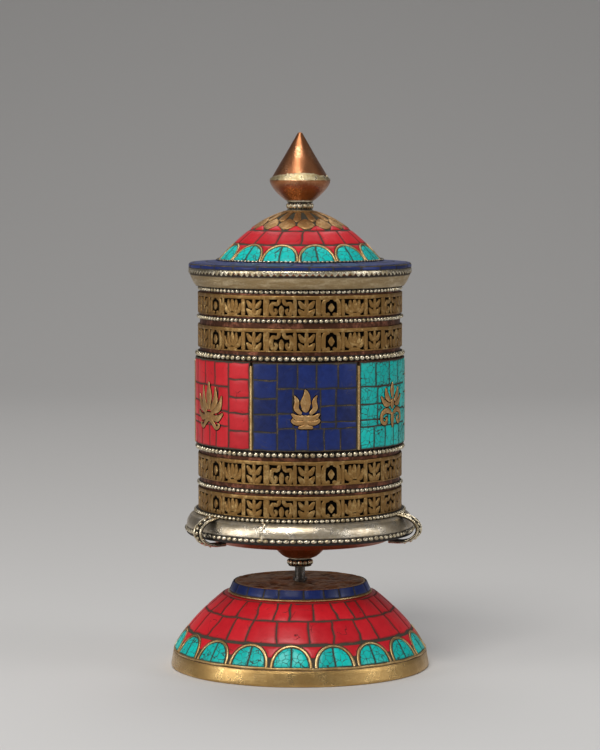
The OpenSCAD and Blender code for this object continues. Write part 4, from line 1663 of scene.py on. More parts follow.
@dataclass
class Bearing:
    """The fixed spindle, the ball it carries and what turns on them."""

    boss: Span = measured("bearing_boss")
    ring: Span = measured("boss_bead_ring")
    boss_low_r: float = 5.2
    boss_power: float = 1.5
    bore: float = 3.7
    ring_bore: float = 2.5
    ring_beads: int = 14

    def build(self) -> None:
        """Dresses the steel and brass, and builds the boss and its bead ring."""
        dress(STEEL, "spindle", "spindle_washer", "spindle_nut", "pivot_ball", "pivot_plug")
        dress(BRASS, "guide_bush")
        dress(DARK_COPPER, "axle_tube")
        self.build_boss()
        self.build_ring()

    def build_boss(self) -> None:
        """The boss: its height grows with the power of its width."""
        share = np.linspace(0, 1, 24)
        radius = self.boss_low_r + (self.boss.radius - self.boss_low_r) * share
        height = self.boss.low + (self.boss.high - self.boss.low) * share**self.boss_power
        outer = np.stack([radius, height], -1)
        wall = np.stack([radius - 1.1, height + 0.5], -1)[4:-2]
        section = np.concatenate([
            [[self.bore, self.boss.low]], outer, [[self.boss.radius - 1.4, self.boss.high]],
            wall[::-1], [[self.bore, self.boss.low + 1.0]],
        ])
        waves = Waves(41)
        ring = turned_ring(section, 160, lambda angle, height: 0.04 * waves(angle, height))
        Piece("boss_spun", COPPER).add(**ring).place("copper", "bearing_boss")

    def build_ring(self) -> None:
        """A collar darkened by painted shade, with one row of beads between two thin plates."""
        low, high, r = self.ring.low, self.ring.high, self.ring.radius
        core = r - 1.15
        section = np.array([
            [self.ring_bore, low], [core + 0.35, low], [core + 0.5, low + 0.3], [core, low + 0.6],
            [core, high - 0.7], [core + 0.6, high - 0.4], [core + 0.55, high], [self.ring_bore, high],
        ])
        ring = turned_ring(section, 120, None, lambda points: np.clip((r - points[:, 0]) / 1.2, 0.4, 1))
        wall = Turned.wall(core, low, high)
        row = bead_row(wall, self.ring_beads, (high - low) * 0.45, (0.98, 0.95, 0.75), 0.4, seed=42)
        piece = Piece("boss_beads", SILVER).add(**ring).add(**row)
        piece.place("german_silver", "boss_bead_ring")


# --------------------------------------------------------------------- drum


@dataclass
class BeadWire:
    """One bead wire round the drum."""

    number: int
    count: int
    drum_r: float

    @property
    def node(self) -> str:
        """The CAD node it stands for."""
        return f"bead_wire_{self.number}"

    def build(self) -> None:
        """A core darkened by painted shade, and its beads."""
        span = Span.of(self.node)
        piece = Piece(f"bead_row_{self.number}", SILVER)
        add_bead_wire(piece, span, self.drum_r, self.count, 50 + self.number)
        piece.place("german_silver", self.node)


def add_bead_wire(piece: Piece, span: Span, bore: float, count: int, seed: int) -> None:
    """Adds a core ring, dark with painted shade, and a row of beads that fill a span.

    Args:
        piece: what they are added to.
        span: their levels and outer radius.
        bore: the core's inner radius.
        count: number of beads.
        seed: picks the beads' irregularity.
    """
    tall = (span.high - span.low) / 2
    along = math.pi * span.radius / count * 0.9
    core = max(span.radius - tall * 1.45, bore + 0.15)
    section = np.array([
        [bore, span.low], [core, span.low], [core + 0.12, (span.low + span.high) / 2],
        [core, span.high], [bore, span.high],
    ])
    # the core is all painted shade, showing between the beads
    piece.add(**turned_ring(section, 240, None, lambda points: np.ones(len(points))))
    out = min(tall, span.radius - core - 0.1)
    wall = Turned.wall(span.radius - out, span.low, span.high)
    piece.add(**bead_row(wall, count, tall, (along, tall * 0.97, out), -0.03, seed=seed))


@dataclass
class Fretwork:
    """The pierced scroll-work of the four bands: a design that goes five times round.

    Lengths along the band are in mm for the middle of the design; heights are
    shares of the free height between the rails.
    """

    drum_r: float
    repeats: int = 5
    start: float = -18.0
    top_rail: float = 1.35
    foot_rail: float = 0.55
    stroke_w: float = 1.5
    repeat_w: float = 48.0  # width that one repeat is drawn in

    def lyre(self) -> list[Stroke]:
        """Two scrolls back to back over a pointed bud."""
        w = self.stroke_w
        scroll = Stroke(
            ((0.55, 1.02), (1.5, 0.72), (3.35, 0.74), (3.9, 0.38), (2.9, 0.06), (1.85, 0.26), (2.45, 0.44)),
            (w, w * 0.9, w, w * 1.15, w, w * 0.8, w * 0.7),
        )
        bud = Stroke(((0.0, 0.62), (0.0, 0.34), (0.0, -0.02)), (w * 0.6, w * 1.35, w * 0.75))
        return [*both(scroll), bud]

    def leaves(self) -> list[Stroke]:
        """A stem with two pairs of leaves that rise to the sides."""
        w = self.stroke_w
        stem = Stroke(((0.0, 1.02), (0.0, 0.5), (0.0, -0.02)), (w * 0.8, w * 1.0, w * 1.1))
        low = Stroke(((0.3, 0.08), (1.6, 0.16), (3.0, 0.42)), (w * 0.9, w * 1.5, w * 0.5))
        high = Stroke(((0.3, 0.5), (1.5, 0.6), (2.9, 0.92)), (w * 0.8, w * 1.35, w * 0.6))
        return [stem, *both(low, high)]

    def key(self) -> list[Stroke]:
        """Two square hooks that face each other round a lozenge."""
        w = self.stroke_w
        hook = Stroke(
            ((0.65, 1.02), (2.6, 0.88), (3.05, 0.5), (2.9, 0.1), (1.4, 0.03), (1.1, 0.2)),
            (w * 0.8, w * 0.95, w * 1.1, w * 1.1, w, w * 0.8),
        )
        lozenge = Stroke(((0.0, 0.76), (0.0, 0.5), (0.0, 0.24)), (w * 0.4, w * 1.7, w * 0.4))
        return [*both(hook), lozenge]

    def lotus(self) -> list[Stroke]:
        """Five petals that fan out over a low seat."""
        w = self.stroke_w
        middle = Stroke(((0.0, 0.2), (0.0, 0.6), (0.0, 0.98)), (w * 0.8, w * 1.75, w * 0.5))
        near = Stroke(((0.5, 0.2), (1.75, 0.5), (1.9, 0.95)), (w * 0.8, w * 1.35, w * 0.5))
        far = Stroke(((0.9, 0.14), (3.1, 0.3), (3.9, 0.74)), (w * 0.8, w * 1.25, w * 0.55))
        seat = Stroke(((-2.4, 0.02), (0.0, 0.06), (2.4, 0.02)), (w * 0.7, w * 0.9, w * 0.7))
        return [middle, seat, *both(near, far)]

    def design(self) -> list[tuple[float, Stroke]]:
        """The figures of one repeat with the mm from its start to their middles."""
        figures = [
            (5.2, self.lyre()), (14.4, self.leaves()), (23.6, self.key()), (33.0, self.lotus()),
            (42.6, self.leaves()),
        ]
        placed = [(middle, stroke) for middle, strokes in figures for stroke in strokes]
        bars = [0.0, 10.15, 18.5, 19.0, 28.15, 37.9, 38.3, 47.0]
        bar = Stroke(((0.0, 1.02), (0.0, 0.5), (0.0, -0.03)), (self.stroke_w * 0.9,) * 3)
        return placed + [(middle, bar) for middle in bars]

    def build_band(self, number: int) -> None:
        """Builds one band: rails, figures and a dark ground behind them.

        Args:
            number: which band, from the top.
        """
        node = f"fret_band_{number}"
        span = Span.of(node)
        face = span.radius - self.drum_r
        wall = Turned.wall(self.drum_r, span.low, span.high)
        tall = span.high - span.low
        free = tall - self.top_rail - self.foot_rail
        arc = math.radians(TURN / self.repeats) * self.drum_r
        scale = arc / self.repeat_w
        placed = []
        for repeat in range(self.repeats):
            for middle, stroke in self.design():
                turn = self.start + (repeat + middle / self.repeat_w) * TURN / self.repeats
                points = tuple((x * scale, self.foot_rail + y * free) for x, y in stroke.points)
                placed.append((turn, 0.0, Stroke(points, stroke.widths)))
        piece = Piece(f"fretwork_{number}", FRET_BRASS)
        piece.add(**draw(wall, placed, face - 0.1, -0.15, shoulder=0.16, crown=0.03, spread=0.05))
        piece.add(**hoop(wall, tall - self.top_rail / 2, self.top_rail, face - 0.04, -0.1, 288,
                         Waves(60 + number)))
        piece.add(**hoop(wall, self.foot_rail / 2, self.foot_rail, face - 0.1, -0.1, 288))
        piece.place("brass", node)

    def build_ground(self) -> None:
        """The black ground behind the four bands."""
        piece = Piece("fretwork_ground", BLACK_GROUND)
        for number in range(1, 5):
            span = Span.of(f"fret_band_{number}")
            waves = Waves(66 + number, 9, 9, 60)
            section = np.array([
                [self.drum_r - 0.1, span.low + 0.05], [self.drum_r + 0.1, span.low + 0.05],
                [self.drum_r + 0.12, (span.low + span.high) / 2], [self.drum_r + 0.1, span.high - 0.05],
                [self.drum_r - 0.1, span.high - 0.05],
            ])
            piece.add(**turned_ring(section, 288, lambda angle, height: 0.03 * waves(angle, height)))
        piece.place("dark_copper", body="drum")


class Figure(Enum):
    """The three ornaments of the stone panels."""

    JEWEL = 0
    BLOSSOM = 1
    LOTUS = 2


@dataclass
class Panels:
    """Six stone panels between brass strips, each with a brass ornament."""

    drum_r: float
    span: Span = measured("lapis_panels")
    relief: float = 0.3
    middle: float = 3.0  # angle of the first panel's middle line
    count: int = 6
    strip_w: float = 1.0

    def __post_init__(self) -> None:
        """Works out the wall that the stones make."""
        self.wall = Turned.wall(self.span.radius, self.span.low, self.span.high)
        self.tall = self.span.high - self.span.low
        self.half = math.radians(TURN / self.count / 2) * self.span.radius - self.strip_w / 2 - 0.25

    def blocks(self) -> Array:
        """Left, right, lower and upper edges of one panel's stones, in mm.

        Two side columns, a top and a bottom course, and stones of other sizes
        round the ornament.
        """
        left, right, top = -self.half, self.half, self.tall - 0.25
        side_l, side_r, low, high = -10.4, 11.2, 8.3, 22.8
        column = [0.2, 6.9, 13.3, 19.1, 25.7, top]
        stones = [(left, side_l, a, b) for a, b in zip(column, column[1:])]
        upper = [side_l, -2.9, 4.0, 12.2, right]
        stones += [(a, b, high, top) for a, b in zip(upper, upper[1:])]
        lower = [side_l, -3.6, 0.8, 6.8, 13.0, right]
        stones += [(a, b, 0.2, low) for a, b in zip(lower, lower[1:])]
        stones += [(side_l, -4.6, low, 13.8), (side_l, -4.6, 13.8, high)]
        rows = [low, 10.7, 16.5, high]
        stones += [(5.4, side_r, a, b) for a, b in zip(rows, rows[1:])]
        stones += [(side_r, right, a, b) for a, b in zip(rows, rows[1:])]
        stones += [(-4.6, 5.4, low, 15.4), (-4.6, 5.4, 15.4, high)]
        return np.array(stones)

    def plan(self, number: int) -> Array:
        """Plans of one panel's stones, turned over on every second panel.

        Args:
            number: which panel.

        Returns:
            The plans of its stones.
        """
        blocks = self.blocks()
        if number % 2:
            blocks = blocks[:, [1, 0, 2, 3]] * [-1, -1, 1, 1]
        if number in (2, 3):
            blocks = np.stack([blocks[:, 0], blocks[:, 1], self.tall - blocks[:, 3],
                               self.tall - blocks[:, 2]], -1)
        x0, x1, y0, y1 = blocks.T
        flat = np.stack([np.stack(pair, -1) for pair in ((x0, y0), (x1, y0), (x1, y1), (x0, y1))], 1)
        angle, length = self.wall.wrap(self.middle + number * TURN / self.count, flat)
        plan = four_sided(np.stack([angle, length], -1), 0.3, self.wall)
        return by_hand(plan, self.wall, 70 + number, 0.16)

    def build(self) -> None:
        """Builds stones, filler, strips and ornaments."""
        kinds = [
            ("lapis", LAPIS, (0, 3), GOLD_GROUT), ("turquoise", TURQUOISE, (1, 4), BROWN_GROUT),
            ("coral", CORAL, (2, 5), DARK_GROUT),
        ]
        for kind, stone, places, filler in kinds:
            piece = Piece(f"{kind}_panel_stones", stone)
            ground = Piece(f"{kind}_panel_filler", filler)
            for number in places:
                plan = self.plan(number)
                rng = np.random.default_rng(80 + number)
                tone = rng.uniform(0, 1, len(plan))
                stones = lay_stones(self.wall, plan, tone, depth=0.8, round_off=0.1, uneven=0.07,
                                    seed=number)
                piece.add(**stones)
                ground.add(**self.slab(number))
            piece.place(f"{kind}_stone", f"{kind}_panels")
            ground.place("plaster", body="drum")
        self.build_strips()
        self.build_ornaments()

    def slab(self, number: int) -> Part:
        """The filler under one panel's stones: a closed, bent slab.

        Args:
            number: which panel.

        Returns:
            What Piece.add takes.
        """
        half = self.half + 0.15
        bow = np.linspace(-half, half, 33)
        edges = np.array([[0.05, -1.5], [0.05, -0.16], [self.tall - 0.05, -0.16], [self.tall - 0.05, -1.5]])
        beside, length = np.broadcast_arrays(bow[:, None], edges[None, :, 0])
        angle, along = self.wall.wrap(
            self.middle + number * TURN / self.count, np.stack([beside, length], -1)
        )
        points = self.wall.at(angle, along, edges[None, :, 1])
        sides = grid_faces(4, len(bow), ring=True)
        last = 4 * (len(bow) - 1)
        caps = np.array([[3, 2, 1, 0], [last, last + 1, last + 2, last + 3]])
        return {"points": points, "faces": [sides[:, ::-1], caps[:, ::-1]]}

    def build_strips(self) -> None:
        """The brass strips between the panels, a little short at the top."""
        w = self.strip_w
        strip = Stroke(((0.0, 0.02), (0.0, self.tall / 2), (0.0, self.tall - 1.3)), (w, w, w))
        placed = [
            (self.middle + (number + 0.5) * TURN / self.count, 0.0, strip)
            for number in range(self.count)
        ]
        strips = draw(self.wall, placed, self.relief - 0.12, -1.5, samples=24, shoulder=0.12)
        Piece("panel_strips", BRASS).add(**strips).place("brass", "panel_dividers")

    def figure(self, kind: Figure) -> list[Stroke]:
        """Strokes of one ornament round the panel's middle.

        Args:
            kind: which ornament.

        Returns:
            Its strokes, in mm from its middle.
        """
        if kind is Figure.JEWEL:
            flame = Stroke(((0.0, -1.2), (0.0, 2.4), (0.35, 5.2), (-0.2, 7.5)), (2.0, 3.9, 2.3, 0.5))
            tongue = Stroke(((1.6, -1.9), (3.5, 0.2), (3.3, 3.0), (4.3, 5.2)), (1.2, 1.9, 1.6, 0.4))
            seat = Stroke(((0.3, -3.1), (3.0, -3.4), (5.4, -1.7)), (1.7, 2.1, 0.7))
            curl = Stroke(((0.6, -5.1), (3.2, -5.3), (4.9, -4.5), (4.6, -3.5)), (1.3, 1.6, 1.2, 0.6))
            foot = Stroke(((-2.8, -7.0), (0.0, -6.7), (2.8, -7.0)), (1.0, 1.6, 1.0))
            stem = Stroke(((0.0, -2.2), (0.0, -4.4), (0.0, -6.6)), (1.6, 1.9, 1.4))
            return [flame, foot, stem, *both(tongue, seat, curl)]
        if kind is Figure.BLOSSOM:
            core = Stroke(((0.0, -1.6), (0.0, 0.4), (0.0, 2.4)), (1.2, 3.1, 1.0))
            upper = Stroke(((0.0, 2.6), (0.0, 5.6), (0.0, 8.6)), (1.1, 3.0, 0.5))
            side = Stroke(((1.4, 1.4), (3.8, 3.4), (4.7, 6.6)), (1.2, 2.6, 0.6))
            wing = Stroke(((1.9, 0.2), (5.0, 0.8), (7.7, 3.6)), (1.2, 2.3, 0.6))
            scroll = Stroke(
                ((0.8, -3.0), (3.8, -1.9), (6.7, -2.9), (7.2, -5.6), (5.0, -6.8), (3.9, -5.2), (5.0, -4.4)),
                (1.4, 1.9, 1.7, 1.6, 1.4, 1.1, 0.8),
            )
            tail = Stroke(((0.0, -2.8), (0.0, -5.6), (0.0, -8.6)), (1.5, 2.4, 0.5))
            return [core, upper, tail, *both(side, wing, scroll)]
        middle = Stroke(((0.0, -1.8), (0.0, 3.4), (0.0, 8.6)), (1.6, 4.2, 0.5))
        near = Stroke(((1.1, -2.0), (4.1, 1.6), (4.3, 6.9)), (1.5, 3.1, 0.5))
        far = Stroke(((1.6, -2.8), (6.2, -0.6), (8.0, 3.8)), (1.4, 2.8, 0.5))
        fallen = Stroke(((1.0, -4.0), (5.4, -4.7), (8.7, -2.6)), (1.4, 2.5, 0.6))
        root = Stroke(((0.0, -5.0), (2.4, -6.2), (4.6, -8.2), (6.4, -7.4), (5.6, -6.3)),
                      (1.6, 1.8, 1.5, 1.1, 0.7))
        seat = Stroke(((-3.1, -3.3), (0.0, -3.8), (3.1, -3.3)), (1.4, 2.2, 1.4))
        return [middle, seat, *both(near, far, fallen, root)]

    def build_ornaments(self) -> None:
        """The six ornaments on dark beds that are a little wider."""
        placed = []
        for number in range(self.count):
            turn = self.middle + number * TURN / self.count - (0.0, 3.0, 1.5)[number % 3]
            size = (0.96, 0.98, 1.0)[number % 3]
            for stroke in self.figure(Figure(number % 3)):
                points = tuple((x * size, y * size - 0.6) for x, y in stroke.points)
                placed.append((turn, self.tall / 2, Stroke(points, stroke.widths)))
        face = self.relief - 0.1
        beds = draw(self.wall, placed, 0.06, -0.6, grow=0.75, spread=0.03, crown=0.0)
        Piece("ornament_beds", BLACK_GROUND).add(**beds).place("dark_copper", body="drum")
        raised = draw(self.wall, placed, face, -0.5, spread=0.07, shoulder=0.12, crown=0.02)
        Piece("ornaments", ORNAMENT_BRASS).add(**raised).place("brass", "panel_ornaments")


@dataclass
class Skirt:
    """The silver skirt under the drum: a quarter-round flare with two bead wires."""

    drum_r: float
    span: Span = measured("skirt_ring")
    lower: Span = measured("skirt_bead_lower")
    upper: Span = measured("skirt_bead_upper")
    ledge: float = 1.5
    wall: float = 0.8
    lower_beads: int = 106
    upper_beads: int = 123
    seam_turn: float = -20.0  # angle of the soldered seam
    seam_drops: int = 15

    def outline(self) -> Array:
        """Quarter ellipse from the ledge down to the upright flange."""
        top_r, flare = self.drum_r + self.ledge, self.span.radius - self.drum_r - self.ledge
        share = np.radians(np.linspace(0, 90, 22))
        drop = self.span.high - self.span.low - self.wall
        height = self.span.low + self.wall + drop * (0.25 + 0.75 * np.cos(share))
        curve = np.stack([top_r + flare * np.sin(share), height], -1)
        flange = np.array([[self.span.radius, self.span.low + 0.2], [self.span.radius - 0.2, self.span.low]])
        return np.concatenate([curve, flange])

    def seam(self, angle: Array, height: Array) -> Array:
        """Radius added by the soldered seam: an uneven ridge with blobs on it.

        Args:
            angle: degrees from the front.
            height: levels.

        Returns:
            The radius added.
        """
        off = (angle - self.seam_turn + 180) % TURN - 180
        share = (height - self.span.low) / (self.span.high - self.span.low)
        centre = 1.1 * np.sin(share * 5.2) + 0.5
        blobs = 0.55 + 0.45 * np.sin(share * 17) * np.sin(share * 7 + 1)
        ridge = 0.6 * blobs * np.exp(-(((off - centre) / 1.05) ** 2))
        return ridge * np.clip(share * 6, 0, 1) * np.clip((1.02 - share) * 8, 0, 1)

    def drops(self) -> Part:
        """Drops of solder down the seam, which wander and differ in size."""
        curve = self.outline()[::-1]
        flare = Turned(curve[:, 0], curve[:, 1])
        rng = np.random.default_rng(94)
        length = flare.end * np.linspace(0.2, 0.95, self.seam_drops)
        angle = self.seam_turn + 0.5 + 0.9 * np.sin(length * 1.1) + rng.uniform(-0.3, 0.3, len(length))
        right, up, out = flare.axes(angle, length, 0.2)
        size = rng.uniform(0.35, 0.7, (len(length), 1))
        axes = np.stack([right * size * 1.2, up * size, out * 0.4], 1)
        return beads(flare.at(angle, length, 0.2), axes)

    def build(self) -> None:
        """Builds the flare and its two bead wires."""
        outer = self.outline()
        inner = np.array([
            [self.drum_r, self.span.low], [self.drum_r, self.span.low + self.wall],
            [self.span.radius - self.wall, self.span.low + self.wall],
            [self.drum_r + self.ledge, self.span.high - 1.6], [self.drum_r, self.span.high - self.wall],
            [self.drum_r, self.span.high],
        ])
        waves, low, high = Waves(91, 9, 3, 40), self.span.low, self.span.high

        def relief(angle: Array, height: Array) -> Array:
            """The seam, and dents of a few hundredths."""
            return self.seam(angle, height) + 0.035 * (waves(angle, height) - 1)

        def hollow(points: Array) -> Array:
            """Painted shade near both bead wires.

            Args:
                points: radius and height of the section's points.

            Returns:
                How much painted shade each gets.
            """
            near_top = np.clip((points[:, 1] - high + 1.5) / 1.1, 0, 1)
            near_foot = np.clip((low + 3.3 - points[:, 1]) / 0.9, 0, 1)
            return np.maximum(near_top * 0.65, near_foot * 0.9)

        section = np.concatenate([outer, inner])
        spun = Piece("skirt_spun", SKIRT_SILVER).add(**turned_ring(section, 480, relief, hollow))
        spun.add(**self.drops()).place("german_silver", "skirt_ring")
        lower = Piece("skirt_beads_lower", SILVER)
        add_bead_wire(lower, self.lower, self.span.radius - 0.3, self.lower_beads, 92)
        lower.place("german_silver", "skirt_bead_lower")
        upper = Piece("skirt_beads_upper", SILVER)
        add_bead_wire(upper, self.upper, self.drum_r, self.upper_beads, 93)
        upper.place("german_silver", "skirt_bead_upper")


@dataclass
class TurningLoops:
    """Three strap loops on the skirt, by which a finger spins the wheel."""

    skirt: Span = measured("skirt_ring")
    drum_r: float = 37.4
    turns: tuple[float, ...] = (-52.0, 68.0, 188.0)
    width: float = 4.6
    strap: float = 1.0
    bead: float = 0.74
    reach: float = 7.9  # from the loop's middle out to the strap's middle line
    foot: float = 1.9  # from the drum's wall to the loop's middle
    tail: float = 1.3  # how far inside the drum's wall the tail ends
    low: float = 48.75
    beads: int = 9

    def path(self) -> Array:
        """Half an ellipse from the skirt's top round to the pan, then the tail."""
        top = self.skirt.high + 0.1
        middle, half = (top + self.low) / 2, (top - self.low) / 2
        share = np.radians(np.linspace(90, -90, 41))
        bow = np.stack([
            self.drum_r + self.foot + self.reach * np.cos(share), middle + half * np.sin(share),
        ], -1)
        run = np.linspace(bow[-1, 0], self.drum_r - self.tail, 6)[1:]
        return np.concatenate([bow, np.stack([run, np.full(5, self.low)], -1)])

    def outward(self, path: Array) -> Array:
        """Outward directions along a path of radius and height.

        Args:
            path: the path's points.

        Returns:
            One direction for each point.
        """
        way = np.gradient(path, axis=0)
        way /= np.linalg.norm(way, axis=1, keepdims=True)
        return np.stack([-way[:, 1], way[:, 0]], -1)

    def sweep(self, turn: float, section: Array, path: Array, hollow: float = 0.0) -> Part:
        """A closed section carried along the loop, with its ends closed.

        Args:
            turn: angle of the loop.
            section: sideways and outward offsets, clockwise seen along the path.
            path: radius and height of the points that it is carried through.
            hollow: how much painted shade it gets.

        Returns:
            What Piece.add takes.
        """
        out = self.outward(path)
        spot = path[:, None] + section[None, :, 1:] * out[:, None]
        side = np.broadcast_to(section[None, :, 0], spot.shape[:2])
        points = self.stand(turn, side, spot)
        ends = np.stack([points[0].mean(0), points[-1].mean(0)])
        every = np.concatenate([points.reshape(-1, 3), ends])
        return {"points": every, "faces": tube_faces(len(section), len(path)), "recess": hollow}

    def stand(self, turn: float, side: Array, spot: Array) -> Array:
        """Points from sideways offsets and radius and height in the loop's plane.

        Args:
            turn: the loop's angle.
            side: sideways offsets.
            spot: radius and height.

        Returns:
            The points in space.
        """
        a = math.radians(turn)
        radial, sideways = np.array([math.sin(a), -math.cos(a), 0]), np.array([math.cos(a), math.sin(a), 0])
        return spot[..., :1] * radial + side[..., None] * sideways + spot[..., 1:] * np.array([0, 0, 1.0])

    def build(self) -> None:
        """Builds the three loops."""
        for number, turn in enumerate(self.turns, 1):
            self.build_loop(number, turn)

    def build_loop(self, number: int, turn: float) -> None:
        """A hollowed strap, two edge wires, beads between, a serrated underside.

        Args:
            number: which loop.
            turn: its angle.
        """
        half, t, path = self.width / 2, self.strap / 2, self.path()
        strap = np.array([[-half + 0.2, -t + 0.1], [-half + 0.2, t - 0.3], [-half + 1.0, t - 0.42],
                          [half - 1.0, t - 0.42], [half - 0.2, t - 0.3], [half - 0.2, -t + 0.1]])
        piece = Piece(f"finger_loop_{number}", SILVER)
        # painted shade darkens the strap between its edge wires
        piece.add(**self.sweep(turn, strap, path, 0.85))
        circle = np.radians(np.arange(8) * 45.0)
        for side in (-1, 1):
            beside = side * (half - 0.48) - 0.46 * np.cos(circle)
            wire = np.stack([beside, t - 0.14 + 0.46 * np.sin(circle)], -1)
            piece.add(**self.sweep(turn, wire, path))
        out = self.outward(path)
        pick = np.linspace(4, 36, self.beads).round().astype(int)
        centres = path[pick] + out[pick] * (t + 0.02)
        a = math.radians(turn)
        sideways = np.array([math.cos(a), math.sin(a), 0.0])
        spots = self.stand(turn, np.zeros(len(pick)), centres)
        outward = self.stand(turn, np.zeros(len(pick)), out[pick])
        along = np.cross(outward, sideways)
        axes = np.stack([np.repeat(sideways[None], len(pick), 0), along, outward], 1) * self.bead
        piece.add(**beads(spots, axes))
        self.add_teeth(piece, turn, path, out)
        piece.place("german_silver", f"turning_loop_{number}")

    def add_teeth(self, piece: Piece, turn: float, path: Array, out: Array) -> None:
        """Two rows of small grains under the strap's edges, out to the tail.

        Args:
            piece: what they are added to.
            turn: the loop's angle.
            path: the strap's middle line.
            out: its outward directions.
        """
        pick = np.arange(26, len(path) - 1)
        size = np.array([0.42, 0.42, 0.42])
        for side in (-1, 1):
            edge = np.full(len(pick), side * (self.width / 2 - 0.3))
            spots = self.stand(turn, edge, path[pick] + out[pick] * 0.18)
            axes = np.repeat((np.eye(3) * size)[None], len(pick), 0)
            piece.add(**beads(spots, axes))


@dataclass
class Scroll:
    """The prayer paper rolled round the axle tube, in its yellow cloth."""

    wrap: Span = measured("scroll_wrap")
    tube: Span = measured("axle_tube")
    cloth_t: float = 0.45
    fold_over: float = 9.0

    def build(self) -> None:
        """Dresses the paper and lays the two cloths."""
        dress(PAPER, "prayer_scroll")
        self.build_sleeve()
        self.build_cover()

    def build_sleeve(self) -> None:
        """The cloth round the roll: a closed sheet with soft upright creases."""
        r, low, high = self.wrap.radius - 0.1, self.wrap.low + 0.2, self.wrap.high - 0.7
        outer = Turned.wall(r, low, high).line(np.linspace(0, high - low, 34))
        waves = Waves(101, 9, 5, 30)
        section = skin(outer, self.cloth_t)
        ring = turned_ring(section, 240, lambda angle, height: 0.09 * (waves(angle, height * 0.12) - 1))
        sleeve = Piece("scroll_cloth_side", CLOTH).add(**ring)
        made = sleeve.place("cloth", "scroll_wrap", crease=70.0)

    def build_cover(self) -> None:
        """The round cloth laid on the roll, with pleats towards the axle."""
        r_out, r_in = self.wrap.radius + 0.42, self.tube.radius + 0.5
        top = self.wrap.high - 0.15
        flat = np.linspace(r_in, r_out - 0.7, 40)
        bend = np.radians(np.linspace(90, 0, 7))[1:]
        rim = np.stack([r_out - 0.7 + 0.7 * np.cos(bend), top - 0.7 + 0.7 * np.sin(bend)], -1)
        hang = np.linspace(top - 0.7, top - 0.7 - self.fold_over, 12)[1:]
        line = np.concatenate([
            np.stack([flat, np.full(40, top)], -1), rim, np.stack([np.full(11, r_out), hang], -1),
        ])[::-1]
        section = skin(line, self.cloth_t)
        segments = 288
        angle = steps_round(segments)
        radius, height = (np.repeat(column[:, None], segments, axis=1) for column in section.T)
        waves = Waves(103, 9, 9, 34)
        pleat = waves(angle, radius * 0.25)
        inside = np.clip((r_out - 0.3 - radius) / 4, 0, 1)
        height = height + 0.3 * pleat * inside * np.clip(1.3 - radius / r_out, 0.2, 1)
        radius = radius + 0.08 * np.clip(pleat, -1, 0.6) * (1 - inside)
        cover = Piece("scroll_cloth_top", CLOTH).add(**closed_grid(about_axis(angle, radius, height)))
        made = cover.place("cloth", body="drum", crease=70.0)


@dataclass
class Drum:
    """The wheel: shell, bands, bead wires, panels, skirt, loops and prayer roll."""

    shell: Span = measured("drum_shell")
    wire_beads: tuple[int, ...] = (116, 124, 100, 103, 118)

    def build(self) -> None:
        """Builds the drum from its shell outwards."""
        r = self.shell.radius
        dress(DARK_COPPER, "drum_shell")
        dress(COPPER, "drum_floor")
        for number, count in enumerate(self.wire_beads, 1):
            BeadWire(number, count, r).build()
        fretwork = Fretwork(r)
        for number in range(1, 5):
            fretwork.build_band(number)
        fretwork.build_ground()
        Panels(r).build()
        Skirt(r).build()
        TurningLoops(drum_r=r).build()
        Scroll().build()


# ---------------------------------------------------------------------- lid


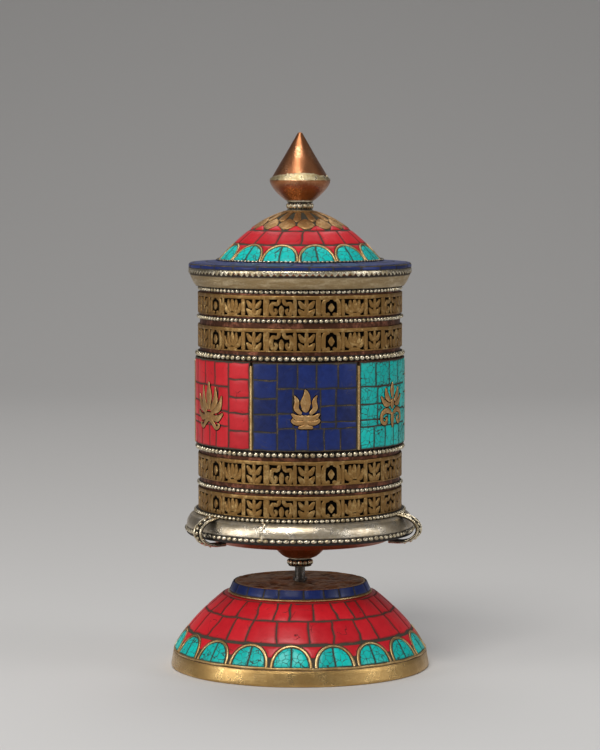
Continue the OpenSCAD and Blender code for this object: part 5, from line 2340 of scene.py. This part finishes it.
@dataclass
class Cornice:
    """The lid's worked silver flare and the saw-tooth strip over it."""

    span: Span = measured("cornice_ring")
    strip: Span = measured("gallery_strip")
    foot_r: float = 38.8
    power: float = 0.75
    wall: float = 1.1
    teeth: int = 112
    sleeve_r: float = 36.4

    def build(self) -> None:
        """Builds the flare and the strip."""
        dress(COPPER, "lid_plate", "lid_sleeve")
        self.build_flare()
        self.build_strip()

    def build_flare(self) -> None:
        """The flare, with tool marks that run up it and a rolled top edge."""
        low, high, top_r = self.span.low, self.span.high, self.span.radius
        share = np.linspace(0, 1, 15)
        radius = self.foot_r + 0.4 + (top_r - self.foot_r - 0.42) * share**self.power
        height = low + 0.5 + (high - low - 0.8) * share
        outer = np.concatenate([
            [[self.foot_r - 0.1, low], [self.foot_r + 0.2, low + 0.12]], np.stack([radius, height], -1),
            [[top_r - 0.1, high - 0.1], [top_r - 0.45, high]],
        ])
        inner = np.array([
            [top_r - self.wall - 0.3, high], [self.foot_r - self.wall, low + self.wall],
            [self.sleeve_r, low + self.wall], [self.sleeve_r, low],
        ])
        broad, marks = Waves(111, 9, 3, 21), Waves(112, 9, 60, 170)

        def relief(angle: Array, height: Array) -> Array:
            """Broad dents and fine tool marks, inwards from the outline."""
            rise = np.clip((height - low) / (high - low), 0, 1)
            return 0.07 * (broad(angle, height) - 1) + 0.05 * rise * (marks(angle, height * 0.2) - 1)

        def hollow(points: Array) -> Array:
            """Painted shade under the strip and over the foot."""
            near_top = np.clip((points[:, 1] - high + 1.5) / 0.9, 0, 1)
            return np.maximum(near_top, np.clip((low + 0.4 - points[:, 1]) / 0.4, 0, 0.8))

        section = np.concatenate([outer, inner])
        flare = Piece("cornice_worked", WORKED_SILVER).add(**turned_ring(section, 720, relief, hollow))
        flare.place("german_silver", "cornice_ring", crease=50.0)

    def build_strip(self) -> None:
        """The strip: its lower edge falls and rises once for each tooth."""
        low, high, r = self.strip.low, self.strip.high, self.strip.radius
        steps = 8
        segments = self.teeth * steps
        angle = np.arange(segments) * TURN / segments
        tooth = 1 - np.abs(2 * ((np.arange(segments) % steps) / steps) - 1)
        rng = np.random.default_rng(113)
        size = np.repeat(rng.uniform(0.75, 1.1, self.teeth), steps)
        lower = low - 0.55 + 1.25 * (1 - tooth**0.8 * np.minimum(size, 1.0))
        waves = Waves(114, 9, 3, 24)
        sag = 0.06 * waves(angle, np.zeros(1))
        share = np.array([0.0, 0.0, 0.25, 0.8, 1.0, 1.0])[:, None]
        out = np.array([r - 0.55, r - 0.12, r, r - 0.02, r - 0.18, r - 0.55])[:, None]
        height = lower[None, :] + (high - 0.02 - lower[None, :]) * share + sag * (1 - share)
        radius = out + 0.03 * (waves(angle, np.ones(1)) - 1)[None, :]
        # painted shade on the strip's inner face and along its toothed lower edge
        hollow = np.array([1.0, 0.35, 0.05, 0.0, 0.1, 0.8])[:, None]
        points = about_axis(angle[None, :], radius, height)
        strip = Piece("saw_tooth_strip", SILVER).add(**closed_grid(points, hollow))
        strip.place("german_silver", "gallery_strip")


@dataclass
class Dome:
    """The lid's lapis brim and the dome with its lobes, coral course and petals."""

    brim: Span = measured("lapis_brim")
    wire: Span = measured("dome_foot_wire")
    neck: Span = measured("neck_bead_ring")
    foot_r: float = 30.6
    tall: float = 18.8
    power: float = 1.9
    brim_rise: float = 0.8
    stone_t: float = 1.7
    lobes: int = 13
    lobe_turn: float = -15.0
    lobe_top: float = 6.25  # height of the lobes over the dome's foot
    course_top: float = 11.3  # height of the coral course's upper edge
    petals: int = 14
    petal_turn: float = 8.0
    wire_grains: int = 116
    neck_beads: int = 14

    def __post_init__(self) -> None:
        """Works out the dome: its height falls with a power of the radius."""
        self.foot = self.brim.high
        self.seat_r = self.neck.radius
        radius = self.foot_r + (self.seat_r - 0.6 - self.foot_r) * np.linspace(0, 1, 240)
        height = self.foot + self.tall * (1 - (radius / self.foot_r) ** self.power)
        self.cap = Turned(radius, height)

    def level(self, over_foot: float) -> float:
        """Length along the dome at a height over its foot."""
        return self.cap.at_level(self.foot + over_foot)

    def build(self) -> None:
        """Builds brim, dome and neck ring."""
        dress(COPPER, "dome_shell")
        self.build_brim()
        self.build_stones()
        self.build_petals()
        self.build_foot_wire()
        self.build_neck()

    def build_brim(self) -> None:
        """Lapis stones over the brim's rounded edge and on its flat top."""
        r, low, edge = self.brim.radius, self.brim.low, self.foot - self.brim_rise
        bend = np.radians(np.linspace(0, 82, 8))
        bow = np.stack([r - 0.65 + 0.65 * np.cos(bend), edge - 0.62 + 0.62 * np.sin(bend)], -1)
        line = np.concatenate([[[r, low]], bow, [[self.foot_r - 0.2, self.foot]]])
        surface = Turned(line[:, 0], line[:, 1])
        sunk = surface.line(np.linspace(0, surface.end, 40), -0.12)
        back = np.array([[self.foot_r - 0.2, low + 0.1], [r - 0.4, low + 0.05]])
        filler = Piece("brim_filler", GOLD_GROUT).add(**turned_ring(np.concatenate([sunk, back]), 288))
        filler.place("plaster", body="lid")
        rng = np.random.default_rng(121)
        courses = [(27, 0.1, 3.3, 4.0), (22, 3.3, 8.2, 9.0), (19, 8.2, surface.end - 0.1, 1.0)]
        corners = np.concatenate([
            course(count, start, end, rng, turn, 0.2, 0.05) for count, start, end, turn in courses
        ])
        plan = by_hand(four_sided(corners, 0.2, surface), surface, 122, 0.12)
        stones = lay_stones(surface, plan, rng.uniform(0, 1, len(plan)), depth=0.7, round_off=0.06,
                            uneven=0.02)
        Piece("brim_stones", LAPIS).add(**stones).place("lapis_stone", "lapis_brim")

    def build_stones(self) -> None:
        """Filler, lobes with wires, and the coral course with its small stones."""
        line = self.cap.line(np.linspace(0, self.cap.end, 50), -0.2)
        filler = Piece("dome_filler", DARK_GROUT).add(**turned_ring(skin(line, self.stone_t - 0.5), 240))
        filler.place("plaster", body="lid")
        row = LobeRow(
            self.cap, self.lobes, self.lobe_turn, self.foot_r * math.sin(math.pi / self.lobes) - 0.12,
            0.3, self.level(self.lobe_top), wire=0.78, rim_gap=0.3, joint=0.22, seed=15,
        )
        rng = np.random.default_rng(123)
        main = course(16, self.level(self.lobe_top + 0.15), self.level(self.course_top), rng, 1.0)
        plan = by_hand(four_sided(main, 0.36, self.cap), self.cap, 124, 0.22)
        stones = lay_stones(self.cap, plan, rng.uniform(0, 1, len(plan)), seed=8)
        coral = Piece("dome_coral_stones", CORAL).add(**stones).add(**row.between())
        plan = self.wedges()
        coral.add(**lay_stones(self.cap, plan, rng.uniform(0, 1, len(plan)), depth=0.7, seed=9))
        coral.place("coral_stone", "dome_coral_mosaic")
        lobes = Piece("dome_lobe_stones", TURQUOISE).add(**row.stones())
        lobes.place("turquoise_stone", "dome_turquoise_lobes")
        Piece("dome_lobe_arcs", BRASS).add(**row.wires()).place("brass", "dome_lobe_wires")

    def wedges(self) -> Array:
        """Plans of the small coral stones that point up between the petals."""
        turns = self.petal_turn + (np.arange(self.petals) + 0.5) * TURN / self.petals
        foot = self.level(self.course_top + 0.22)
        share = STONE_GRID[:, None]
        length = foot + 2.7 * share
        beside = (2.9 * (1 - share) ** 0.75 + 0.15) * (2 * STONE_GRID[None, :] - 1)
        return self.cap.plans(turns, np.stack([beside, np.broadcast_to(length, beside.shape)], -1))

    def build_petals(self) -> None:
        """Rounded brass petals and, nearer the neck, a ring of small leaves."""
        tip = self.level(self.course_top + 0.1) + 0.35
        pitch = TURN / self.petals
        petal = Stroke(((0.0, tip + 0.5), (0.0, tip + 2.8), (0.0, tip + 4.6), (0.0, tip + 7.2)),
                       (4.6, 6.9, 5.4, 2.4))
        leaf = Stroke(((0.0, tip + 5.2), (0.0, tip + 6.8), (0.0, self.cap.end - 1.6)), (0.8, 2.9, 1.9))
        petals = [(self.petal_turn + i * pitch, 0.0, petal) for i in range(self.petals)]
        leaves = [(self.petal_turn + (i + 0.5) * pitch, 0.0, leaf) for i in range(self.petals)]
        piece = Piece("dome_petal_leaves", ORNAMENT_BRASS)
        piece.add(**draw(self.cap, petals, 0.1, -0.6, crown=0.1, spread=0.02, samples=26))
        piece.add(**draw(self.cap, leaves, 0.2, -0.6, crown=0.08, spread=0.02))
        piece.add(**hoop(self.cap, self.cap.end - 1.15, 1.5, 0.3, -0.5, 120, Waves(125)))
        piece.place("brass", "dome_petals")

    def build_foot_wire(self) -> None:
        """The twisted wire round the dome's foot: slanted grains on a core."""
        span = self.wire
        middle, half = (span.low + span.high) / 2, (span.high - span.low) / 2
        section = np.array([
            [span.radius - 1.0, span.low], [span.radius - 0.32, span.low], [span.radius - 0.3, middle],
            [span.radius - 0.4, span.high - 0.1], [span.radius - 1.0, span.high - 0.1],
        ])
        piece = Piece("dome_twist_wire", SILVER)
        # the core is darkened by painted shade between the grains
        piece.add(**turned_ring(section, 240, None, lambda points: np.full(len(points), 0.8)))
        wall = Turned.wall(span.radius - 0.34, span.low, span.high)
        piece.add(**bead_row(wall, self.wire_grains, half, (0.62, half, 0.33), 0.0, seed=126))
        piece.place("german_silver", "dome_foot_wire")

    def build_neck(self) -> None:
        """The neck ring: beads in a channel darkened by painted shade, under an upper lip."""
        low, high, r = self.neck.low, self.neck.high, self.neck.radius
        core = r - 0.95
        section = np.array([
            [2.8, low], [r - 0.2, low], [r - 0.1, low + 0.35], [core + 0.2, low + 0.8], [core, low + 1.2],
            [core, high - 1.0], [r - 0.25, high - 0.5], [r - 0.2, high], [2.8, high],
        ])
        ring = turned_ring(section, 120, None, lambda points: np.clip(1.15 - (points[:, 0] - core), 0.3, 1))
        wall = Turned.wall(core, low, high)
        count = self.neck_beads
        row = bead_row(wall, count, (high - low) * 0.5, (0.92, 1.12, 0.95), 0.1, seed=127)
        fillets = bead_row(wall, count, (high - low) * 0.5, (0.2, 1.35, 0.32), 0.3,
                           turn=TURN / count / 2, seed=128)
        Piece("neck_beads", SILVER).add(**ring).add(**row).add(**fillets).place(
            "german_silver", "neck_bead_ring"
        )


@dataclass
class Lid:
    """The lift-off lid."""

    def build(self) -> None:
        """Builds the cornice and the dome."""
        Cornice().build()
        Dome().build()


# ------------------------------------------------------------------- finial


@dataclass
class Finial:
    """The copper finial: a bowl and a cone, soldered at the equator."""

    bowl: Span = measured("finial_bowl")
    cone: Span = measured("finial_cone")
    foot_r: float = 5.5
    bore: float = 2.1
    bowl_power: float = 1.55
    wall: float = 0.9
    tip_r: float = 1.0

    def build(self) -> None:
        """Builds bowl, cone and solder, and dresses the nut."""
        dress(BRASS, "finial_nut")
        self.build_bowl()
        self.build_cone()
        self.build_solder()

    def build_bowl(self) -> None:
        """The bowl widens fast at its foot and slowly towards the equator."""
        low, high, r = self.bowl.low, self.bowl.high, self.bowl.radius
        share = np.linspace(0, 1, 30)
        radius = self.foot_r + (r - 0.06 - self.foot_r) * (1 - (1 - share) ** self.bowl_power)
        outer = np.stack([radius, low + (high - low - 0.3) * share], -1)
        lip = np.array([[r, high - 0.16], [r - 0.06, high - 0.02], [r - 0.3, high]])
        inner = np.array([
            [r - 1.0, high], [r - 1.3, high - 1.2], [self.foot_r + 1.0, low + 1.6],
            [self.foot_r - 0.6, low + self.wall], [self.bore, low + self.wall], [self.bore, low],
        ])
        waves = Waves(131, 7, 2, 9)
        section = np.concatenate([outer, lip, inner])
        ring = turned_ring(section, 192, lambda angle, height: 0.05 * (waves(angle, height) - 1))
        Piece("finial_bowl_spun", FINIAL_COPPER).add(**ring).place("copper", "finial_bowl")

    def cone_r(self, over: Array) -> Array:
        """The cone's radius at a height over the equator, a little bellied.

        Args:
            over: heights over the equator.

        Returns:
            The radius at each.
        """
        tall = self.cone.high - self.cone.low - 0.55
        share = np.clip(over / tall, 0, 1)
        return (self.cone.radius - 0.02) * (1 - share) + self.tip_r * share - 0.12 * (1 - share) * share

    def build_cone(self) -> None:
        """The cone, closed at a rounded tip, with a flat foot."""
        low, high = self.cone.low, self.cone.high
        over = np.linspace(0.0, high - low - 0.6, 34)
        side = np.stack([self.cone_r(over), low + over], -1)
        bend = np.radians(np.linspace(20, 75, 5))
        tip = np.stack([self.tip_r * np.cos(bend), high - 0.62 + 0.6 * np.sin(bend)], -1)
        profile = np.concatenate([[[0, low + 0.05]], [[self.cone.radius - 0.5, low + 0.02]], side, tip,
                                  [[0, high - 0.01]]])
        waves = Waves(132, 7, 2, 9)

        def dents(angle: Array, height: Array) -> Array:
            """Shallow dents that fade out at the tip."""
            return 0.07 * (waves(angle, height * 0.4) - 1) * np.clip((high - height) / 9, 0, 1)

        Piece("finial_cone_rolled", FINIAL_COPPER).add(**lathe(profile, 192, dents)).place(
            "copper", "finial_cone"
        )

    def build_solder(self) -> None:
        """The solder over the equator: its upper edge wanders, highest in front."""
        low, segments = self.cone.low, 480
        angle = np.arange(segments) * TURN / segments - 180
        away = np.abs(angle)
        waves, fine = Waves(133, 9, 3, 17), Waves(134, 9, 20, 60)
        flow = 0.7 + 2.1 * np.exp(-((away / 62.0) ** 2)) + 0.34 * waves(angle, np.zeros(1))
        flow = np.clip(flow + 0.14 * fine(angle, np.zeros(1)), 0.3, 3.0)
        share = np.array([0.0, 0.12, 0.35, 0.7, 0.93, 1.0])[:, None]
        thick = np.array([0.12, 0.22, 0.24, 0.2, 0.13, 0.0])[:, None]
        over = flow[None, :] * share
        lumps = 0.05 * Waves(135, 9, 11, 70)(angle[None, :], over * 2)
        outer = self.cone_r(over) + np.maximum(thick + lumps * (thick > 0.15), 0.0)
        inner = self.cone_r(over[::-1]) - 0.25
        radius = np.concatenate([outer, inner])
        height = np.concatenate([over, over[::-1]]) + low + 0.02
        points = about_axis(angle[None, :], radius, height)
        solder = Piece("finial_solder", SOLDER).add(**closed_grid(points))
        solder.place("german_silver", "finial_seam")


# ------------------------------------------------------------------- studio


@dataclass
class Studio:
    """A pale sweep of paper, soft lights and the camera, in metres."""

    eye: tuple[float, float, float] = (0.0, -1.0408, 0.1901)
    pitch: float = 85.56
    lens: float = 133.8
    depth: float = 1.2
    width: float = 26.0
    rise: float = 2.4
    bend: float = 1.2

    def build(self) -> None:
        """Builds the sweep, the lights, the world and the camera."""
        self.build_sweep()
        self.add_light("key_light", (-0.28, -0.85, 1.25), 0.62, 13.0, (1.0, 0.985, 0.96))
        self.add_light("left_light", (-1.15, -0.55, 0.45), 0.55, 5.0, (1.0, 0.99, 0.97))
        self.add_light("right_light", (1.15, -0.45, 0.5), 0.5, 3.4, (0.98, 0.99, 1.0))
        self.add_light("top_light", (0.0, 0.9, 1.6), 1.2, 11.0, (1.0, 1.0, 1.0))
        world = bpy.data.worlds.new("studio_air")
        world.use_nodes = True
        air = world.node_tree.nodes["Background"]
        air.inputs["Color"].default_value = (0.92, 0.93, 0.95, 1.0)
        air.inputs["Strength"].default_value = 0.2
        bpy.context.scene.world = world
        bpy.context.scene.view_settings.view_transform = "Standard"
        self.add_camera()

    def build_sweep(self) -> None:
        """Floor and wall in one sheet: flat, then a quarter circle, then upright."""
        bend = np.radians(np.linspace(-90, 0, 25))
        back = np.concatenate([[-12.0], self.depth + self.bend * np.cos(bend), [self.depth + self.bend]])
        level = np.concatenate([[0.0], self.bend + self.bend * np.sin(bend), [self.rise + self.bend]])
        side = np.linspace(-self.width / 2, self.width / 2, 9)
        x, y = np.meshgrid(side, back)
        points = np.stack([x, y, np.broadcast_to(level[:, None], x.shape)], -1).reshape(-1, 3)
        mesh = bpy.data.meshes.new("paper_sweep")
        mesh.from_pydata(points, [], grid_faces(len(side), len(back)).tolist())
        mesh.shade_smooth()
        mesh.materials.append(BACKDROP.material())
        sweep = bpy.data.objects.new("paper_sweep", mesh)
        bpy.context.scene.collection.objects.link(sweep)

    def add_light(self, name: str, spot: tuple[float, float, float], size: float, power: float,
                  colour: Colour) -> None:
        """A square soft light that faces the object's middle.

        Args:
            name: its name.
            spot: where it stands.
            size: its side.
            power: its power in watts.
            colour: its tint.
        """
        lamp = bpy.data.lights.new(name, "AREA")
        lamp.shape, lamp.size, lamp.energy, lamp.color = "SQUARE", size, power, colour
        made = bpy.data.objects.new(name, lamp)
        made.location = spot
        way = np.array([0.0, 0.0, 0.1]) - np.array(spot)
        flat = math.hypot(way[0], way[1])
        made.rotation_euler = (math.atan2(flat, -way[2]), 0.0, math.atan2(-way[0], way[1]))
        bpy.context.scene.collection.objects.link(made)

    def add_camera(self) -> None:
        """A long lens a little over the lid's height, looking slightly down."""
        lens = bpy.data.cameras.new("studio_camera")
        lens.lens, lens.sensor_width = self.lens, 36.0
        lens.clip_start, lens.clip_end = 0.05, 50.0
        camera = bpy.data.objects.new("studio_camera", lens)
        camera.location = self.eye
        camera.rotation_euler = (math.radians(self.pitch), 0.0, 0.0)
        bpy.context.scene.collection.objects.link(camera)
        bpy.context.scene.camera = camera


def write_sizes() -> None:
    """Updates the view layer."""
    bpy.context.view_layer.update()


def main() -> None:
    logging.basicConfig(level=logging.INFO, format="%(name)s: %(message)s")
    for part in (Base(), Bearing(), Drum(), Lid(), Finial(), Studio()):
        log.info("building %s", type(part).__name__)
        part.build()
    write_sizes()


if __name__ == "__main__":
    main()
